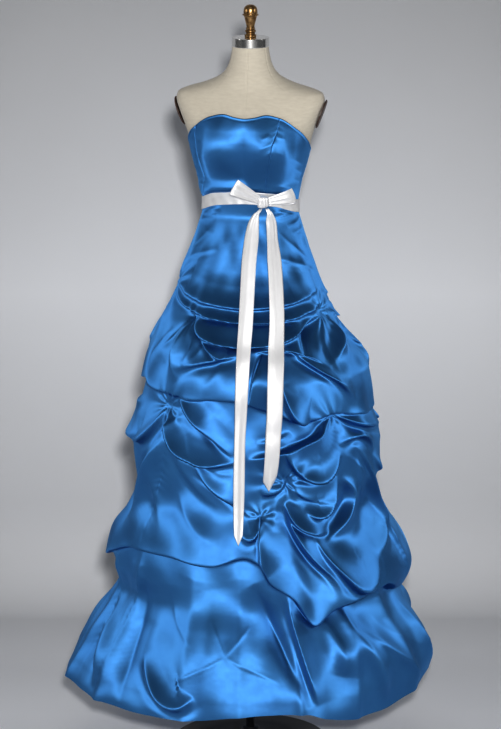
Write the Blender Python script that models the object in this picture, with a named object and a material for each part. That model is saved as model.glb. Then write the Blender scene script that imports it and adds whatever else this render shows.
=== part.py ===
"""A strapless satin prom dress with a picked-up skirt and a ribbon sash, on a limbless dress form.

Metres, +Z up, front of the dress towards -Y, the wearer's left towards +X, origin on the floor
under the middle of the base. Angles are degrees round the pole from the front, growing towards +X.
"""

import math

import bmesh
import bpy
import numpy as np

# Named sizes.
SEAM_GAP = 0.0003
CLOTH = 0.0020
BODICE_GAP = 0.0022
BODICE_WALL = 0.0016
RIBBON_WALL = 0.0012
RIBBON_GAP = 0.0012
RIBBON_WIDTH = 0.031
NECK_TOP = 1.7535
CAP_HEIGHT = 0.0215
CAP_RADIUS = 0.0445
TORSO_FOOT = 1.060
POLE_RADIUS = 0.011
BASE_RADIUS = 0.195
COLLAR_TOP = 0.048
FRONT_SEAMS = (-50.0, 38.0)
GORE_SEAMS = (-38.0, 30.0)
SIDE_SEAM = 96.0

# The finishes: colour, roughness, metallic.
FINISHES = {
    "blue_satin": ((0.045, 0.19, 0.56), 0.34, 0.0),
    "white_satin": ((0.86, 0.86, 0.88), 0.38, 0.0),
    "linen": ((0.62, 0.57, 0.47), 0.9, 0.0),
    "steel": ((0.62, 0.61, 0.60), 0.2, 1.0),
    "chrome": ((0.75, 0.75, 0.76), 0.1, 1.0),
    "bronze": ((0.36, 0.20, 0.07), 0.35, 1.0),
    "plate": ((0.09, 0.05, 0.04), 0.4, 0.0),
    "black": ((0.015, 0.015, 0.017), 0.35, 0.0),
}

# One row per level of the form: height, half width, front depth, back depth, squareness.
FORM_ROWS = (
    (1.0600, 0.128, 0.088, 0.100, 2.1),
    (1.0660, 0.150, 0.100, 0.118, 2.1),
    (1.0850, 0.160, 0.108, 0.130, 2.1),
    (1.1250, 0.164, 0.111, 0.137, 2.15),
    (1.1700, 0.161, 0.109, 0.136, 2.2),
    (1.2200, 0.149, 0.103, 0.126, 2.2),
    (1.2700, 0.136, 0.096, 0.110, 2.2),
    (1.3200, 0.121, 0.089, 0.095, 2.2),
    (1.3600, 0.1115, 0.0840, 0.0860, 2.2),
    (1.3900, 0.1110, 0.0840, 0.0830, 2.2),
    (1.4300, 0.1190, 0.0900, 0.0860, 2.2),
    (1.4700, 0.1310, 0.0960, 0.0920, 2.25),
    (1.5050, 0.1400, 0.1000, 0.0970, 2.3),
    (1.5350, 0.1460, 0.1010, 0.1000, 2.35),
    (1.5650, 0.1560, 0.0970, 0.1000, 2.4),
    (1.6000, 0.1700, 0.0850, 0.0940, 2.4),
    (1.6280, 0.1780, 0.0720, 0.0820, 2.3),
    (1.6430, 0.1740, 0.0640, 0.0720, 2.2),
    (1.6540, 0.1520, 0.0590, 0.0650, 2.1),
    (1.6650, 0.1150, 0.0560, 0.0600, 2.0),
    (1.6760, 0.0870, 0.0540, 0.0570, 2.0),
    (1.6880, 0.0680, 0.0520, 0.0540, 2.0),
    (1.7050, 0.0550, 0.0485, 0.0500, 2.0),
    (1.7250, 0.0480, 0.0455, 0.0465, 2.0),
    (1.7535, 0.0435, 0.0435, 0.0435, 2.0),
)
# The bust: angle, height, how far out, spread round in degrees, spread in height.
BUST = (30.0, 1.515, 0.021, 24.0, 0.052)

# The bodice's top edge: angle from the front, height. The same on both sides.
NECKLINE = (
    (0, 1.5950),
    (14, 1.5980),
    (30, 1.6040),
    (44, 1.5970),
    (58, 1.5700),
    (74, 1.5380),
    (94, 1.5090),
    (130, 1.4980),
    (180, 1.4920),
)
# The waist seam, which runs under the sash: angle, height.
WAIST = ((0, 1.4040), (40, 1.3980), (75, 1.3780), (110, 1.3660), (180, 1.3620))

# The skirt's levels: height, reach to the wearer's right, to the left, to the front, to the back.
SKIRT_ROWS = (
    (1.400, 0.090, 0.090, 0.070, 0.070),
    (1.340, 0.118, 0.116, 0.094, 0.098),
    (1.280, 0.139, 0.134, 0.116, 0.120),
    (1.220, 0.163, 0.157, 0.136, 0.142),
    (1.160, 0.182, 0.178, 0.158, 0.166),
    (1.100, 0.212, 0.204, 0.188, 0.196),
    (1.040, 0.230, 0.240, 0.218, 0.228),
    (0.980, 0.246, 0.285, 0.240, 0.250),
    (0.920, 0.256, 0.287, 0.246, 0.258),
    (0.860, 0.277, 0.300, 0.254, 0.268),
    (0.800, 0.290, 0.316, 0.266, 0.282),
    (0.740, 0.283, 0.312, 0.270, 0.284),
    (0.680, 0.280, 0.300, 0.276, 0.288),
    (0.620, 0.300, 0.330, 0.290, 0.304),
    (0.560, 0.328, 0.363, 0.306, 0.322),
    (0.500, 0.335, 0.380, 0.318, 0.330),
    (0.450, 0.318, 0.354, 0.328, 0.336),
    (0.400, 0.335, 0.374, 0.350, 0.358),
    (0.350, 0.363, 0.406, 0.376, 0.382),
    (0.300, 0.394, 0.431, 0.398, 0.404),
    (0.250, 0.430, 0.443, 0.416, 0.420),
    (0.200, 0.455, 0.440, 0.427, 0.432),
)
# The rims of the two picked-up tiers and the hem: angle, upper rim, lower rim, hem.
RIM_ROWS = (
    (-180, 0.940, 0.500, 0.205),
    (-155, 0.915, 0.535, 0.200),
    (-125, 0.945, 0.490, 0.210),
    (-95, 0.950, 0.500, 0.207),
    (-70, 0.975, 0.540, 0.206),
    (-50, 0.955, 0.580, 0.206),
    (-28, 0.955, 0.592, 0.202),
    (-8, 0.966, 0.574, 0.208),
    (6, 0.962, 0.590, 0.222),
    (13, 0.945, 0.575, 0.225),
    (17, 0.938, 0.535, 0.225),
    (26, 0.920, 0.502, 0.224),
    (34, 0.904, 0.440, 0.205),
    (43, 0.908, 0.478, 0.196),
    (54, 0.922, 0.494, 0.197),
    (66, 0.916, 0.500, 0.208),
    (80, 0.904, 0.458, 0.226),
    (100, 0.900, 0.450, 0.222),
    (125, 0.935, 0.515, 0.208),
    (155, 0.905, 0.480, 0.212),
    (180, 0.940, 0.500, 0.205),
)
# The folds. Each runs from start through middle to end: angle, height three times; then in mm how
# far it stands out, how soft it is on the left hand and on the right hand going along it, and how
# far it hangs down over what is beneath.
FOLD_ROWS = (
    # swags from hip to hip under the sash
    (-86, 1.198, 0, 1.164, 86, 1.184, 8, 22, 13, 4),
    (-78, 1.172, 0, 1.134, 80, 1.148, 11, 20, 11, 6),
    (-38, 1.134, 2, 1.084, 68, 1.126, 17, 24, 10, 10),
    # the upper tier, front
    (-34, 1.121, -40, 1.052, -36, 0.985, 12, 22, 22, 0),
    (-37, 1.006, -18, 1.037, 3, 1.051, 8, 18, 13, 2),
    (-34, 1.125, -17, 1.068, -6, 1.050, 8, 16, 11, 4),
    (9, 1.055, 38, 1.064, 56, 1.010, 10, 22, 13, 6),
    (35, 1.060, 50, 1.012, 66, 0.948, 10, 18, 14, 4),
    (17, 1.055, 12, 1.000, 7, 0.930, 12, 34, 8, 0),
    (77, 1.113, 78, 1.065, 54, 1.015, 12, 20, 18, 0),
    (66, 1.122, 51, 1.090, 42, 1.050, -12, 16, 16, 0),
    (26, 0.985, 32, 0.925, 40, 0.903, 12, 20, 12, 5),
    # the lower tier, front
    (48, 0.895, 39, 0.838, 7, 0.806, 12, 22, 13, 7),
    (-34, 0.946, -20, 0.902, 0, 0.813, 15, 22, 13, 6),
    (-42, 0.905, -26, 0.822, 2, 0.800, 15, 20, 12, 8),
    (-20, 0.778, -6, 0.736, 9, 0.674, 12, 28, 10, 6),
    (-66, 0.823, -56, 0.828, -44, 0.905, 14, 22, 16, 0),
    (-34, 0.865, -56, 0.725, -66, 0.590, 12, 40, 16, 0),
    (4, 0.641, 10, 0.635, 14, 0.668, 6, 12, 9, 2),
    (14, 0.726, 21, 0.736, 27, 0.760, 8, 14, 11, 3),
    (25, 0.827, 41, 0.762, 55, 0.811, 15, 24, 11, 8),
    (35, 0.688, 46, 0.676, 53, 0.756, 12, 17, 11, 5),
    (26, 0.706, 34, 0.652, 47, 0.626, 14, 28, 11, 7),
    (55, 0.750, 61, 0.682, 43, 0.606, 14, 20, 15, 0),
    (37, 0.646, 50, 0.528, 66, 0.558, 16, 24, 13, 7),
    (64, 0.555, 80, 0.650, 57, 0.806, 11, 24, 20, 0),
    (26, 0.700, 33, 0.606, 45, 0.514, 16, 26, 13, 5),
    (15, 0.690, 14, 0.620, 15, 0.556, 12, 32, 9, 0),
    (62, 0.826, 78, 0.690, 86, 0.470, 13, 28, 13, 0),
    (55, 0.826, 68, 0.846, 77, 0.790, 13, 18, 14, 0),
    (76, 0.790, 86, 0.742, 104, 0.705, 10, 24, 16, 4),
    (55, 0.905, 72, 0.874, 104, 0.828, 15, 26, 18, 6),
    (84, 0.716, 98, 0.698, 122, 0.704, -17, 24, 20, 0),
    (-120, 0.704, -94, 0.700, -70, 0.712, -12, 22, 20, 0),
    (-104, 0.830, -86, 0.806, -66, 0.824, 14, 28, 20, 6),
    # the flounce, front
    (-64, 0.430, -55, 0.333, -51, 0.222, 17, 44, 18, 0),
    (-33, 0.330, -19, 0.245, -10, 0.262, 14, 26, 18, 0),
    (10, 0.515, 20, 0.385, 28, 0.236, -15, 24, 24, 0),
    (24, 0.497, 28, 0.350, 31, 0.240, 14, 34, 12, 0),
    (38, 0.430, 41, 0.360, 41, 0.300, 10, 22, 22, 0),
    (42, 0.476, 51, 0.350, 58, 0.212, 20, 36, 28, 0),
    (50, 0.407, 64, 0.320, 76, 0.228, 13, 26, 22, 0),
    (-9, 0.500, -6, 0.370, -5, 0.215, 9, 46, 46, 0),
    (-42, 0.500, -41, 0.360, -37, 0.215, -10, 26, 26, 0),
    (-82, 0.450, -79, 0.340, -74, 0.210, 16, 40, 30, 0),
    (82, 0.430, 86, 0.320, 92, 0.215, 16, 38, 28, 0),
    # the hidden side and back: swags of the upper tier
    (84, 1.180, 130, 1.150, 188, 1.176, 9, 22, 13, 5),
    (80, 1.140, 124, 1.096, 176, 1.132, 14, 24, 12, 8),
    (168, 1.150, 214, 1.104, 262, 1.176, 13, 24, 12, 8),
    (180, 1.118, 226, 1.062, 268, 1.120, 15, 26, 12, 9),
    (96, 1.060, 122, 1.012, 160, 1.046, 12, 24, 13, 7),
    (150, 1.086, 178, 1.020, 204, 1.058, 13, 26, 13, 7),
    (204, 1.040, 236, 0.996, 272, 1.050, 12, 22, 13, 7),
    (92, 1.090, 104, 1.030, 100, 0.960, 12, 24, 20, 0),
    (262, 1.100, 266, 1.040, 258, 0.975, 11, 24, 20, 0),
    (146, 1.030, 150, 0.980, 146, 0.930, 10, 22, 20, 0),
    # the lower tier, round the back
    (104, 0.868, 134, 0.806, 168, 0.862, 14, 26, 13, 8),
    (118, 0.800, 150, 0.738, 186, 0.796, 14, 24, 12, 8),
    (168, 0.880, 204, 0.820, 244, 0.872, 14, 26, 13, 8),
    (186, 0.806, 222, 0.746, 262, 0.812, 15, 24, 12, 8),
    (106, 0.690, 132, 0.640, 158, 0.684, 13, 24, 13, 7),
    (150, 0.706, 184, 0.650, 214, 0.700, 13, 24, 13, 7),
    (208, 0.684, 238, 0.628, 270, 0.676, 13, 24, 13, 7),
    (112, 0.610, 142, 0.566, 172, 0.602, 11, 22, 13, 6),
    (188, 0.612, 220, 0.562, 254, 0.600, 12, 22, 13, 6),
    (112, 0.880, 116, 0.790, 110, 0.700, 11, 24, 22, 0),
    (170, 0.850, 174, 0.760, 168, 0.660, 11, 24, 22, 0),
    (250, 0.860, 252, 0.760, 246, 0.660, 11, 24, 22, 0),
    # the flounce, round the back
    (104, 0.440, 108, 0.330, 110, 0.215, -13, 28, 28, 0),
    (120, 0.450, 124, 0.330, 129, 0.210, 17, 38, 30, 0),
    (140, 0.440, 144, 0.330, 148, 0.210, -13, 28, 26, 0),
    (157, 0.430, 160, 0.330, 163, 0.210, 15, 36, 30, 0),
    (176, 0.450, 178, 0.340, 179, 0.210, -11, 28, 28, 0),
    (196, 0.450, 194, 0.330, 191, 0.210, 17, 36, 30, 0),
    (214, 0.450, 211, 0.330, 209, 0.210, -13, 28, 28, 0),
    (232, 0.440, 229, 0.330, 228, 0.210, 16, 38, 30, 0),
    (252, 0.430, 250, 0.330, 249, 0.210, -12, 28, 28, 0),
    (268, 0.440, 267, 0.330, 268, 0.210, 13, 34, 28, 0),
)
# How far each rim stands out, its softness above and below and its overhang, in mm.
UPPER_RIM = (17, 62, 20, 12)
LOWER_RIM = (27, 74, 22, 16)
PEAK_SOFTNESS = 0.020


def smooth(at, table, column):
    """Smooth reading of a table's column at the values of its first column."""
    rows = sorted(table)
    x = np.array([row[0] for row in rows], float)
    y = np.array([row[column] for row in rows], float)
    step = np.diff(x)
    rise = np.diff(y) / step
    slope = np.zeros_like(y)
    same = rise[1:] * rise[:-1] > 0
    mean = 2 * rise[1:] * rise[:-1] / np.where(same, rise[1:] + rise[:-1], 1)
    slope[1:-1] = np.where(same, mean, 0)
    at = np.clip(np.asarray(at, float), x[0], x[-1])
    i = np.clip(np.searchsorted(x, at) - 1, 0, len(x) - 2)
    t = (at - x[i]) / step[i]
    a = (1 + 2 * t) * (1 - t) ** 2 * y[i] + t * (1 - t) ** 2 * step[i] * slope[i]
    b = t * t * (3 - 2 * t) * y[i + 1] - t * t * (1 - t) * step[i] * slope[i + 1]
    return a + b


def turned(angle):
    """The angle brought between -180 and 180."""
    return (np.asarray(angle, float) + 180) % 360 - 180


def form_reach(angle, height):
    """How far the form's side is from the pole's line."""
    a = np.radians(turned(angle))
    half = smooth(height, FORM_ROWS, 1)
    front = smooth(height, FORM_ROWS, 2)
    back = smooth(height, FORM_ROWS, 3)
    power = smooth(height, FORM_ROWS, 4)
    depth = np.where(np.cos(a) > 0, front, back)
    ring = (np.abs(np.sin(a) / half) ** power + np.abs(np.cos(a) / depth) ** power) ** (-1 / power)
    place, level, out, spread, tall = BUST
    off = np.abs(np.abs(turned(angle)) - place) / spread
    return ring + out * np.exp(-off ** 2 - ((height - level) / tall) ** 2)


def waist_height(angle):
    return smooth(np.abs(turned(angle)), WAIST, 1)


def neckline(angle):
    return smooth(np.abs(turned(angle)), NECKLINE, 1)


def skirt_reach(angle, height):
    """The skirt's form before its folds."""
    a = np.radians(turned(angle))
    side = np.where(np.sin(a) < 0, smooth(height, SKIRT_ROWS, 1), smooth(height, SKIRT_ROWS, 2))
    fore = np.where(np.cos(a) > 0, smooth(height, SKIRT_ROWS, 3), smooth(height, SKIRT_ROWS, 4))
    free = side * np.sin(a) ** 2 + fore * np.cos(a) ** 2
    worn = form_reach(angle, np.maximum(height, 1.10)) + BODICE_GAP + BODICE_WALL
    worn = np.where(np.asarray(height) > 1.10, worn, 0)
    gap = free - worn
    return worn + np.where(gap > 0.05, gap, (gap + np.sqrt(gap ** 2 + 0.00002)) / 2)


def fold_line(row, count=25):
    """Points along one fold: angle, height."""
    start, middle, end = np.array(row[0:2]), np.array(row[2:4]), np.array(row[4:6])
    bend = 2 * middle - (start + end) / 2
    t = np.linspace(0, 1, count)[:, None]
    return (1 - t) ** 2 * start + 2 * t * (1 - t) * bend + t * t * end


def near_line(angle, height, reach, line):
    """Distance to a fold's line, its share along the line, and whether the point is on its left."""
    best = np.full(angle.shape, 9.0)
    share = np.zeros(angle.shape)
    left = np.zeros(angle.shape, bool)
    scale = np.radians(reach)
    for i in range(len(line) - 1):
        ax = turned(angle - line[i, 0]) * scale
        az = height - line[i, 1]
        bx = (line[i + 1, 0] - line[i, 0]) * scale
        bz = line[i + 1, 1] - line[i, 1]
        t = np.clip((ax * bx + az * bz) / (bx * bx + bz * bz), 0, 1)
        d = np.hypot(ax - t * bx, az - t * bz)
        closer = d < best
        best = np.where(closer, d, best)
        share = np.where(closer, (i + t) / (len(line) - 1), share)
        left = np.where(closer, bx * az - bz * ax > 0, left)
    return best, share, left


def folded(angle, height, finest):
    """What the folds add: how far out and how far down, in metres. No fold is finer than finest."""
    reach = skirt_reach(angle, height)
    out = np.zeros(angle.shape)
    down = np.zeros(angle.shape)
    for row in FOLD_ROWS:
        rise, left_soft, right_soft, drop = (value / 1000 for value in row[6:10])
        d, share, left = near_line(angle, height, reach, fold_line(row))
        width = np.maximum(np.where(left, left_soft, right_soft), finest)
        taper = np.sin(np.pi * share) ** 0.6
        hump = np.exp(-((d / width) ** 2)) * taper
        out += rise * hump
        down += drop * hump
    for column, (rise, above, below, drop) in ((1, UPPER_RIM), (2, LOWER_RIM)):
        rim = smooth(turned(angle), RIM_ROWS, column)
        d = (height - rim) * 1000
        swell = 0.78 + 0.22 * np.sin(np.radians(turned(angle)) * 5 + column * 2)
        hump = np.exp(-((d / np.where(d > 0, above, below)) ** 2)) * swell
        hang = np.exp(-((d / np.where(d > 0, above / 2, below * 0.8)) ** 2)) * swell
        out += rise / 1000 * hump
        down += drop / 1000 * hang
    calm = np.clip((waist_height(angle) - height - 0.05) / 0.06, 0, 1)
    hemward = np.clip((height - smooth(turned(angle), RIM_ROWS, 3)) / 0.03, 0, 1)
    return out * calm, down * calm * hemward


def skirt_levels(angle):
    """The nominal heights of the skirt's rows at each angle, from the waist seam to the hem."""
    top = waist_height(angle) - SEAM_GAP / 2
    upper = smooth(turned(angle), RIM_ROWS, 1)
    lower = smooth(turned(angle), RIM_ROWS, 2)
    hem = smooth(turned(angle), RIM_ROWS, 3)
    under_sash = top - RIBBON_WIDTH * 0.6
    levels = [top]
    levels += [under_sash + (upper + 0.045 - under_sash) * share for share in np.linspace(0, 1, 11)]
    levels += [upper + step for step in (0.020, 0.002, -0.011, -0.026)]
    start, stop = upper - 0.026, lower + 0.045
    levels += [start + (stop - start) * share for share in np.linspace(0, 1, 10)[1:]]
    levels += [lower + step for step in (0.020, 0.002, -0.012, -0.028)]
    start = lower - 0.028
    levels += [start + (hem - start) * share for share in np.linspace(0, 1, 7)[1:]]
    return np.array(levels)


def ring_point(angle, reach, height):
    a = np.radians(angle)
    return np.stack([reach * np.sin(a), -reach * np.cos(a), height + 0 * a], -1)


def outward(points, closed):
    """Outward directions of a grid of points, rows going down and columns going round."""
    if closed:
        across = np.roll(points, -1, 1) - np.roll(points, 1, 1)
    else:
        across = np.gradient(points, axis=1)
    along = np.gradient(points, axis=0)
    normal = np.cross(along, across)
    normal /= np.linalg.norm(normal, axis=2, keepdims=True)
    return normal


def material_for(finish):
    """The material of one finish, made once."""
    found = bpy.data.materials.get(finish)
    if found:
        return found
    colour, roughness, metallic = FINISHES[finish]
    made = bpy.data.materials.new(finish)
    made.use_nodes = True
    shader = made.node_tree.nodes["Principled BSDF"]
    shader.inputs["Base Color"].default_value = (*colour, 1.0)
    shader.inputs["Roughness"].default_value = roughness
    shader.inputs["Metallic"].default_value = metallic
    return made


def empty_at(name, place):
    """A named empty that pieces are parented to."""
    found = bpy.data.objects.get(name)
    if found:
        return found
    made = bpy.data.objects.new(name, None)
    made.location = place
    bpy.context.collection.objects.link(made)
    return made


def add_object(name, points, faces, finish, carrier, place=(0.0, 0.0, 0.0)):
    """A closed mesh whose points are relative to place, parented to the carrier's empty."""
    mesh = bpy.data.meshes.new(name)
    mesh.from_pydata([tuple(map(float, p)) for p in points], [], faces)
    bm = bmesh.new()
    bm.from_mesh(mesh)
    bmesh.ops.triangulate(bm, faces=bm.faces)
    bmesh.ops.recalc_face_normals(bm, faces=bm.faces)
    if bm.calc_volume(signed=True) < 0:
        bmesh.ops.reverse_faces(bm, faces=bm.faces)
    bm.to_mesh(mesh)
    bm.free()
    mesh.shade_smooth()
    mesh.set_sharp_from_angle(angle=math.radians(40))
    mesh.materials.append(material_for(finish))
    obj = bpy.data.objects.new(name, mesh)
    bpy.context.collection.objects.link(obj)
    obj.parent = carrier
    obj.location = tuple(float(p) - float(c) for p, c in zip(place, carrier.location))
    return obj


def wall(name, outer, inner, finish, closed=False):
    """A closed wall of the gown between two grids of points."""
    rows, columns = outer.shape[:2]
    points = np.concatenate([outer.reshape(-1, 3), inner.reshape(-1, 3)])
    base = rows * columns
    faces = []
    last = columns if closed else columns - 1
    for i in range(rows - 1):
        for j in range(last):
            k = (j + 1) % columns
            a, b, c, d = i * columns + j, i * columns + k, (i + 1) * columns + k, (i + 1) * columns + j
            faces += [(a, d, c, b), (base + a, base + b, base + c, base + d)]
    for j in range(last):
        k = (j + 1) % columns
        foot = (rows - 1) * columns
        faces += [(j, k, base + k, base + j), (foot + k, foot + j, base + foot + j, base + foot + k)]
    if not closed:
        for i in range(rows - 1):
            a, d = i * columns, (i + 1) * columns
            faces.append((d, a, base + a, base + d))
            a, d = a + columns - 1, d + columns - 1
            faces.append((a, d, base + d, base + a))
    return add_object(name, points, faces, finish, empty_at("gown", (0, 0, 0)))


def seamed(grid):
    """A panel's grid with its two side edges drawn in by half a seam gap."""
    grid = grid.copy()
    for edge, inside in ((0, 1), (-1, -2)):
        step = grid[:, inside] - grid[:, edge]
        step /= np.linalg.norm(step, axis=1, keepdims=True)
        grid[:, edge] += step * SEAM_GAP / 2
    return grid


def turned_solid(name, profile, count, finish, foot):
    """A solid turned round the pole's line from rows of radius and height above its foot."""
    points, faces = [], []
    for radius, height in profile:
        for j in range(count):
            a = math.tau * j / count
            points.append((radius * math.sin(a), -radius * math.cos(a), height))
    rows = len(profile)
    for i in range(rows - 1):
        for j in range(count):
            k = (j + 1) % count
            faces.append((i * count + j, i * count + k, (i + 1) * count + k, (i + 1) * count + j))
    for row, height in ((0, profile[0][1]), (rows - 1, profile[-1][1])):
        points.append((0, 0, height))
        centre = len(points) - 1
        for j in range(count):
            k = (j + 1) % count
            faces.append((row * count + j, row * count + k, centre))
    return add_object(name, points, faces, finish, empty_at("stand", (0, 0, 0)), (0, 0, foot))


def clear_scene():
    for obj in list(bpy.data.objects):
        bpy.data.objects.remove(obj)


def make_form():
    count = 40
    step = np.arange(count) * math.tau / count
    angles = np.degrees(np.arctan2(1.25 * np.sin(step), np.cos(step)))
    heights = [row[0] for row in FORM_ROWS]
    heights[-1] = NECK_TOP
    points, faces = [], []
    for height in heights:
        reach = form_reach(angles, np.full(count, height))
        points += list(ring_point(angles, reach, height))
    rows = len(heights)
    for i in range(rows - 1):
        for j in range(count):
            k = (j + 1) % count
            faces.append((i * count + j, i * count + k, (i + 1) * count + k, (i + 1) * count + j))
    for row, height in ((0, heights[0]), (rows - 1, heights[-1])):
        points.append((0, 0, height))
        for j in range(count):
            faces.append((row * count + j, row * count + (j + 1) % count, len(points) - 1))
    add_object("form_torso", points, faces, "linen", empty_at("stand", (0, 0, 0)))


def make_neck():
    """The polished cap on the neck and the turned finial on it."""
    cap_foot = NECK_TOP + SEAM_GAP
    cap_rows = (
        (CAP_RADIUS - 0.001, 0.0),
        (CAP_RADIUS, 0.001),
        (CAP_RADIUS, CAP_HEIGHT - 0.0012),
        (CAP_RADIUS - 0.0012, CAP_HEIGHT),
    )
    turned_solid("neck_cap", cap_rows, 28, "steel", cap_foot)
    finial_rows = (
        (0.0125, 0.0000), (0.0138, 0.0020), (0.0138, 0.0050), (0.0112, 0.0072), (0.0102, 0.0095),
        (0.0120, 0.0125), (0.0128, 0.0150), (0.0118, 0.0172), (0.0096, 0.0190), (0.0108, 0.0205),
        (0.0108, 0.0222), (0.0094, 0.0240), (0.0100, 0.0290), (0.0128, 0.0400), (0.0150, 0.0490),
        (0.0160, 0.0512), (0.0188, 0.0524), (0.0190, 0.0544), (0.0162, 0.0556), (0.0166, 0.0600),
        (0.0158, 0.0670), (0.0130, 0.0725), (0.0080, 0.0762), (0.0030, 0.0775),
    )
    turned_solid("finial", finial_rows, 14, "bronze", cap_foot + CAP_HEIGHT + SEAM_GAP)


def make_arm_plate(name, side):
    """The flat oval plate that closes the form's arm opening."""
    tall, wide, thick = 0.036, 0.030, 0.004
    low = form_reach(np.array([90.0]), np.array([1.565]))[0]
    high = form_reach(np.array([90.0]), np.array([1.625]))[0]
    slope = math.atan2(high - low, 0.060)
    middle = np.array([(low + high) / 2 + 0.0020, 0.004, 1.595])
    up = np.array([math.sin(slope), 0, math.cos(slope)])
    out = np.array([math.cos(slope), 0, -math.sin(slope)])
    along = np.array([0, 1.0, 0])
    count = 20
    points, faces = [], []
    for depth, scale in ((0.0, 1.0), (thick * 0.6, 1.0), (thick, 0.93)):
        for j in range(count):
            a = math.tau * j / count
            p = middle + out * depth + (up * tall * math.cos(a) + along * wide * math.sin(a)) * scale
            points.append((side * (p[0] - middle[0]), p[1] - middle[1], p[2] - middle[2]))
    for i in range(2):
        for j in range(count):
            k = (j + 1) % count
            faces.append((i * count + j, i * count + k, (i + 1) * count + k, (i + 1) * count + j))
    faces.append(tuple(range(count)))
    faces.append(tuple(range(2 * count, 3 * count)))
    place = (side * middle[0], middle[1], middle[2])
    add_object(name, points, faces, "plate", empty_at("stand", (0, 0, 0)), place)


def make_stand():
    """The weighted base with its collar, and the pole that carries the form."""
    base_rows = (
        (BASE_RADIUS - 0.002, 0.0),
        (BASE_RADIUS, 0.002),
        (BASE_RADIUS, 0.010),
        (BASE_RADIUS - 0.004, 0.0135),
        (0.120, 0.0175),
        (0.040, 0.0210),
        (0.024, 0.0240),
        (0.0215, 0.0280),
        (0.0215, COLLAR_TOP - 0.002),
        (0.0195, COLLAR_TOP),
    )
    turned_solid("stand_base", base_rows, 32, "black", 0.0)
    length = TORSO_FOOT - COLLAR_TOP - 2 * SEAM_GAP
    turned_solid("pole", ((POLE_RADIUS, 0.0), (POLE_RADIUS, length)), 20, "chrome", COLLAR_TOP + SEAM_GAP)


# The columns of points that every cloth shares: from angle, to angle, steps between.
COLUMN_SPANS = (
    (-96.0, -50.0, 8),
    (-50.0, -38.0, 2),
    (-38.0, 30.0, 13),
    (30.0, 38.0, 2),
    (38.0, 96.0, 11),
    (96.0, 180.0, 12),
    (180.0, 264.0, 12),
)


def all_columns():
    """Every column's angle once round, from the wearer's right side seam."""
    angles = []
    for start, stop, steps in COLUMN_SPANS:
        angles += list(np.linspace(start, stop, steps + 1)[:-1])
    return np.array(angles)


def panel_angles(start, stop):
    """The shared columns from one seam to another."""
    ring = all_columns()
    ring = np.concatenate([ring, ring + 360, [ring[0] + 720]])
    return ring[(ring > start - 0.01) & (ring < stop + 0.01)]


def make_bodice():
    seams = (
        ("bodice_front", FRONT_SEAMS[0], FRONT_SEAMS[1]),
        ("bodice_side_l", FRONT_SEAMS[1], SIDE_SEAM),
        ("bodice_back_l", SIDE_SEAM, 180.0),
        ("bodice_back_r", 180.0, 360 - SIDE_SEAM),
        ("bodice_side_r", 360 - SIDE_SEAM, 360 + FRONT_SEAMS[0]),
    )
    rows = 7
    for name, start, stop in seams:
        angles = panel_angles(start, stop)
        top = neckline(angles)
        foot = waist_height(angles) + SEAM_GAP / 2
        share = np.linspace(0, 1, rows)[:, None]
        heights = top + (foot - top) * share
        grid_angles = np.broadcast_to(angles, heights.shape)
        grids = []
        for offset in (BODICE_GAP + BODICE_WALL, BODICE_GAP):
            reach = form_reach(grid_angles, heights) + offset
            grids.append(seamed(ring_point(grid_angles, reach, heights)))
        wall(name, *grids, "blue_satin")


def skirt_grid(angles, finest):
    """The skirt's points at all rows for the given angles."""
    levels = skirt_levels(angles)
    grid_angles = np.broadcast_to(angles, levels.shape).astype(float)
    out, down = folded(grid_angles, levels, finest)
    reach = skirt_reach(grid_angles, levels) + out
    return ring_point(grid_angles, reach, levels - down)


def make_skirt():
    """Five gores, waist seam to hem. Returns the whole ring, which the ribbon tails lie on."""
    gores = (
        ("skirt_front", GORE_SEAMS[0], GORE_SEAMS[1]),
        ("skirt_side_l", GORE_SEAMS[1], SIDE_SEAM),
        ("skirt_back_l", SIDE_SEAM, 180.0),
        ("skirt_back_r", 180.0, 360 - SIDE_SEAM),
        ("skirt_side_r", 360 - SIDE_SEAM, 360 + GORE_SEAMS[0]),
    )
    angles = all_columns()
    outer = skirt_grid(angles, PEAK_SOFTNESS)
    inner = outer - outward(outer, True) * CLOTH
    # The waist edge and the hem stay at the outer edge's height, so that the seams stay open.
    inner[0, :, 2] = outer[0, :, 2]
    for name, start, stop in gores:
        columns = [int(np.argmin(np.abs(turned(angles - angle)))) for angle in panel_angles(start, stop)]
        wall(name, seamed(outer[:, columns]), seamed(inner[:, columns]), "blue_satin")
    return angles, outer


def outermost(angles, grid, angle, height):
    """The farthest reach of the skirt's ring at an angle and height, read from its own points."""
    order = np.argsort(turned(angles))
    sorted_angles = turned(angles)[order]
    reach = np.hypot(grid[..., 0], grid[..., 1])
    j = int(np.clip(np.searchsorted(sorted_angles, angle) - 1, 0, len(order) - 2))
    t = (angle - sorted_angles[j]) / (sorted_angles[j + 1] - sorted_angles[j])
    a, b = order[j], order[j + 1]
    best = 0.0
    for i in range(grid.shape[0] - 1):
        high = grid[i, a, 2] * (1 - t) + grid[i, b, 2] * t
        low = grid[i + 1, a, 2] * (1 - t) + grid[i + 1, b, 2] * t
        if min(high, low) <= height <= max(high, low):
            s = (high - height) / (high - low) if high != low else 0.0
            first = reach[i, a] * (1 - t) + reach[i, b] * t
            second = reach[i + 1, a] * (1 - t) + reach[i + 1, b] * t
            best = max(best, first * (1 - s) + second * s)
    return best


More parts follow.
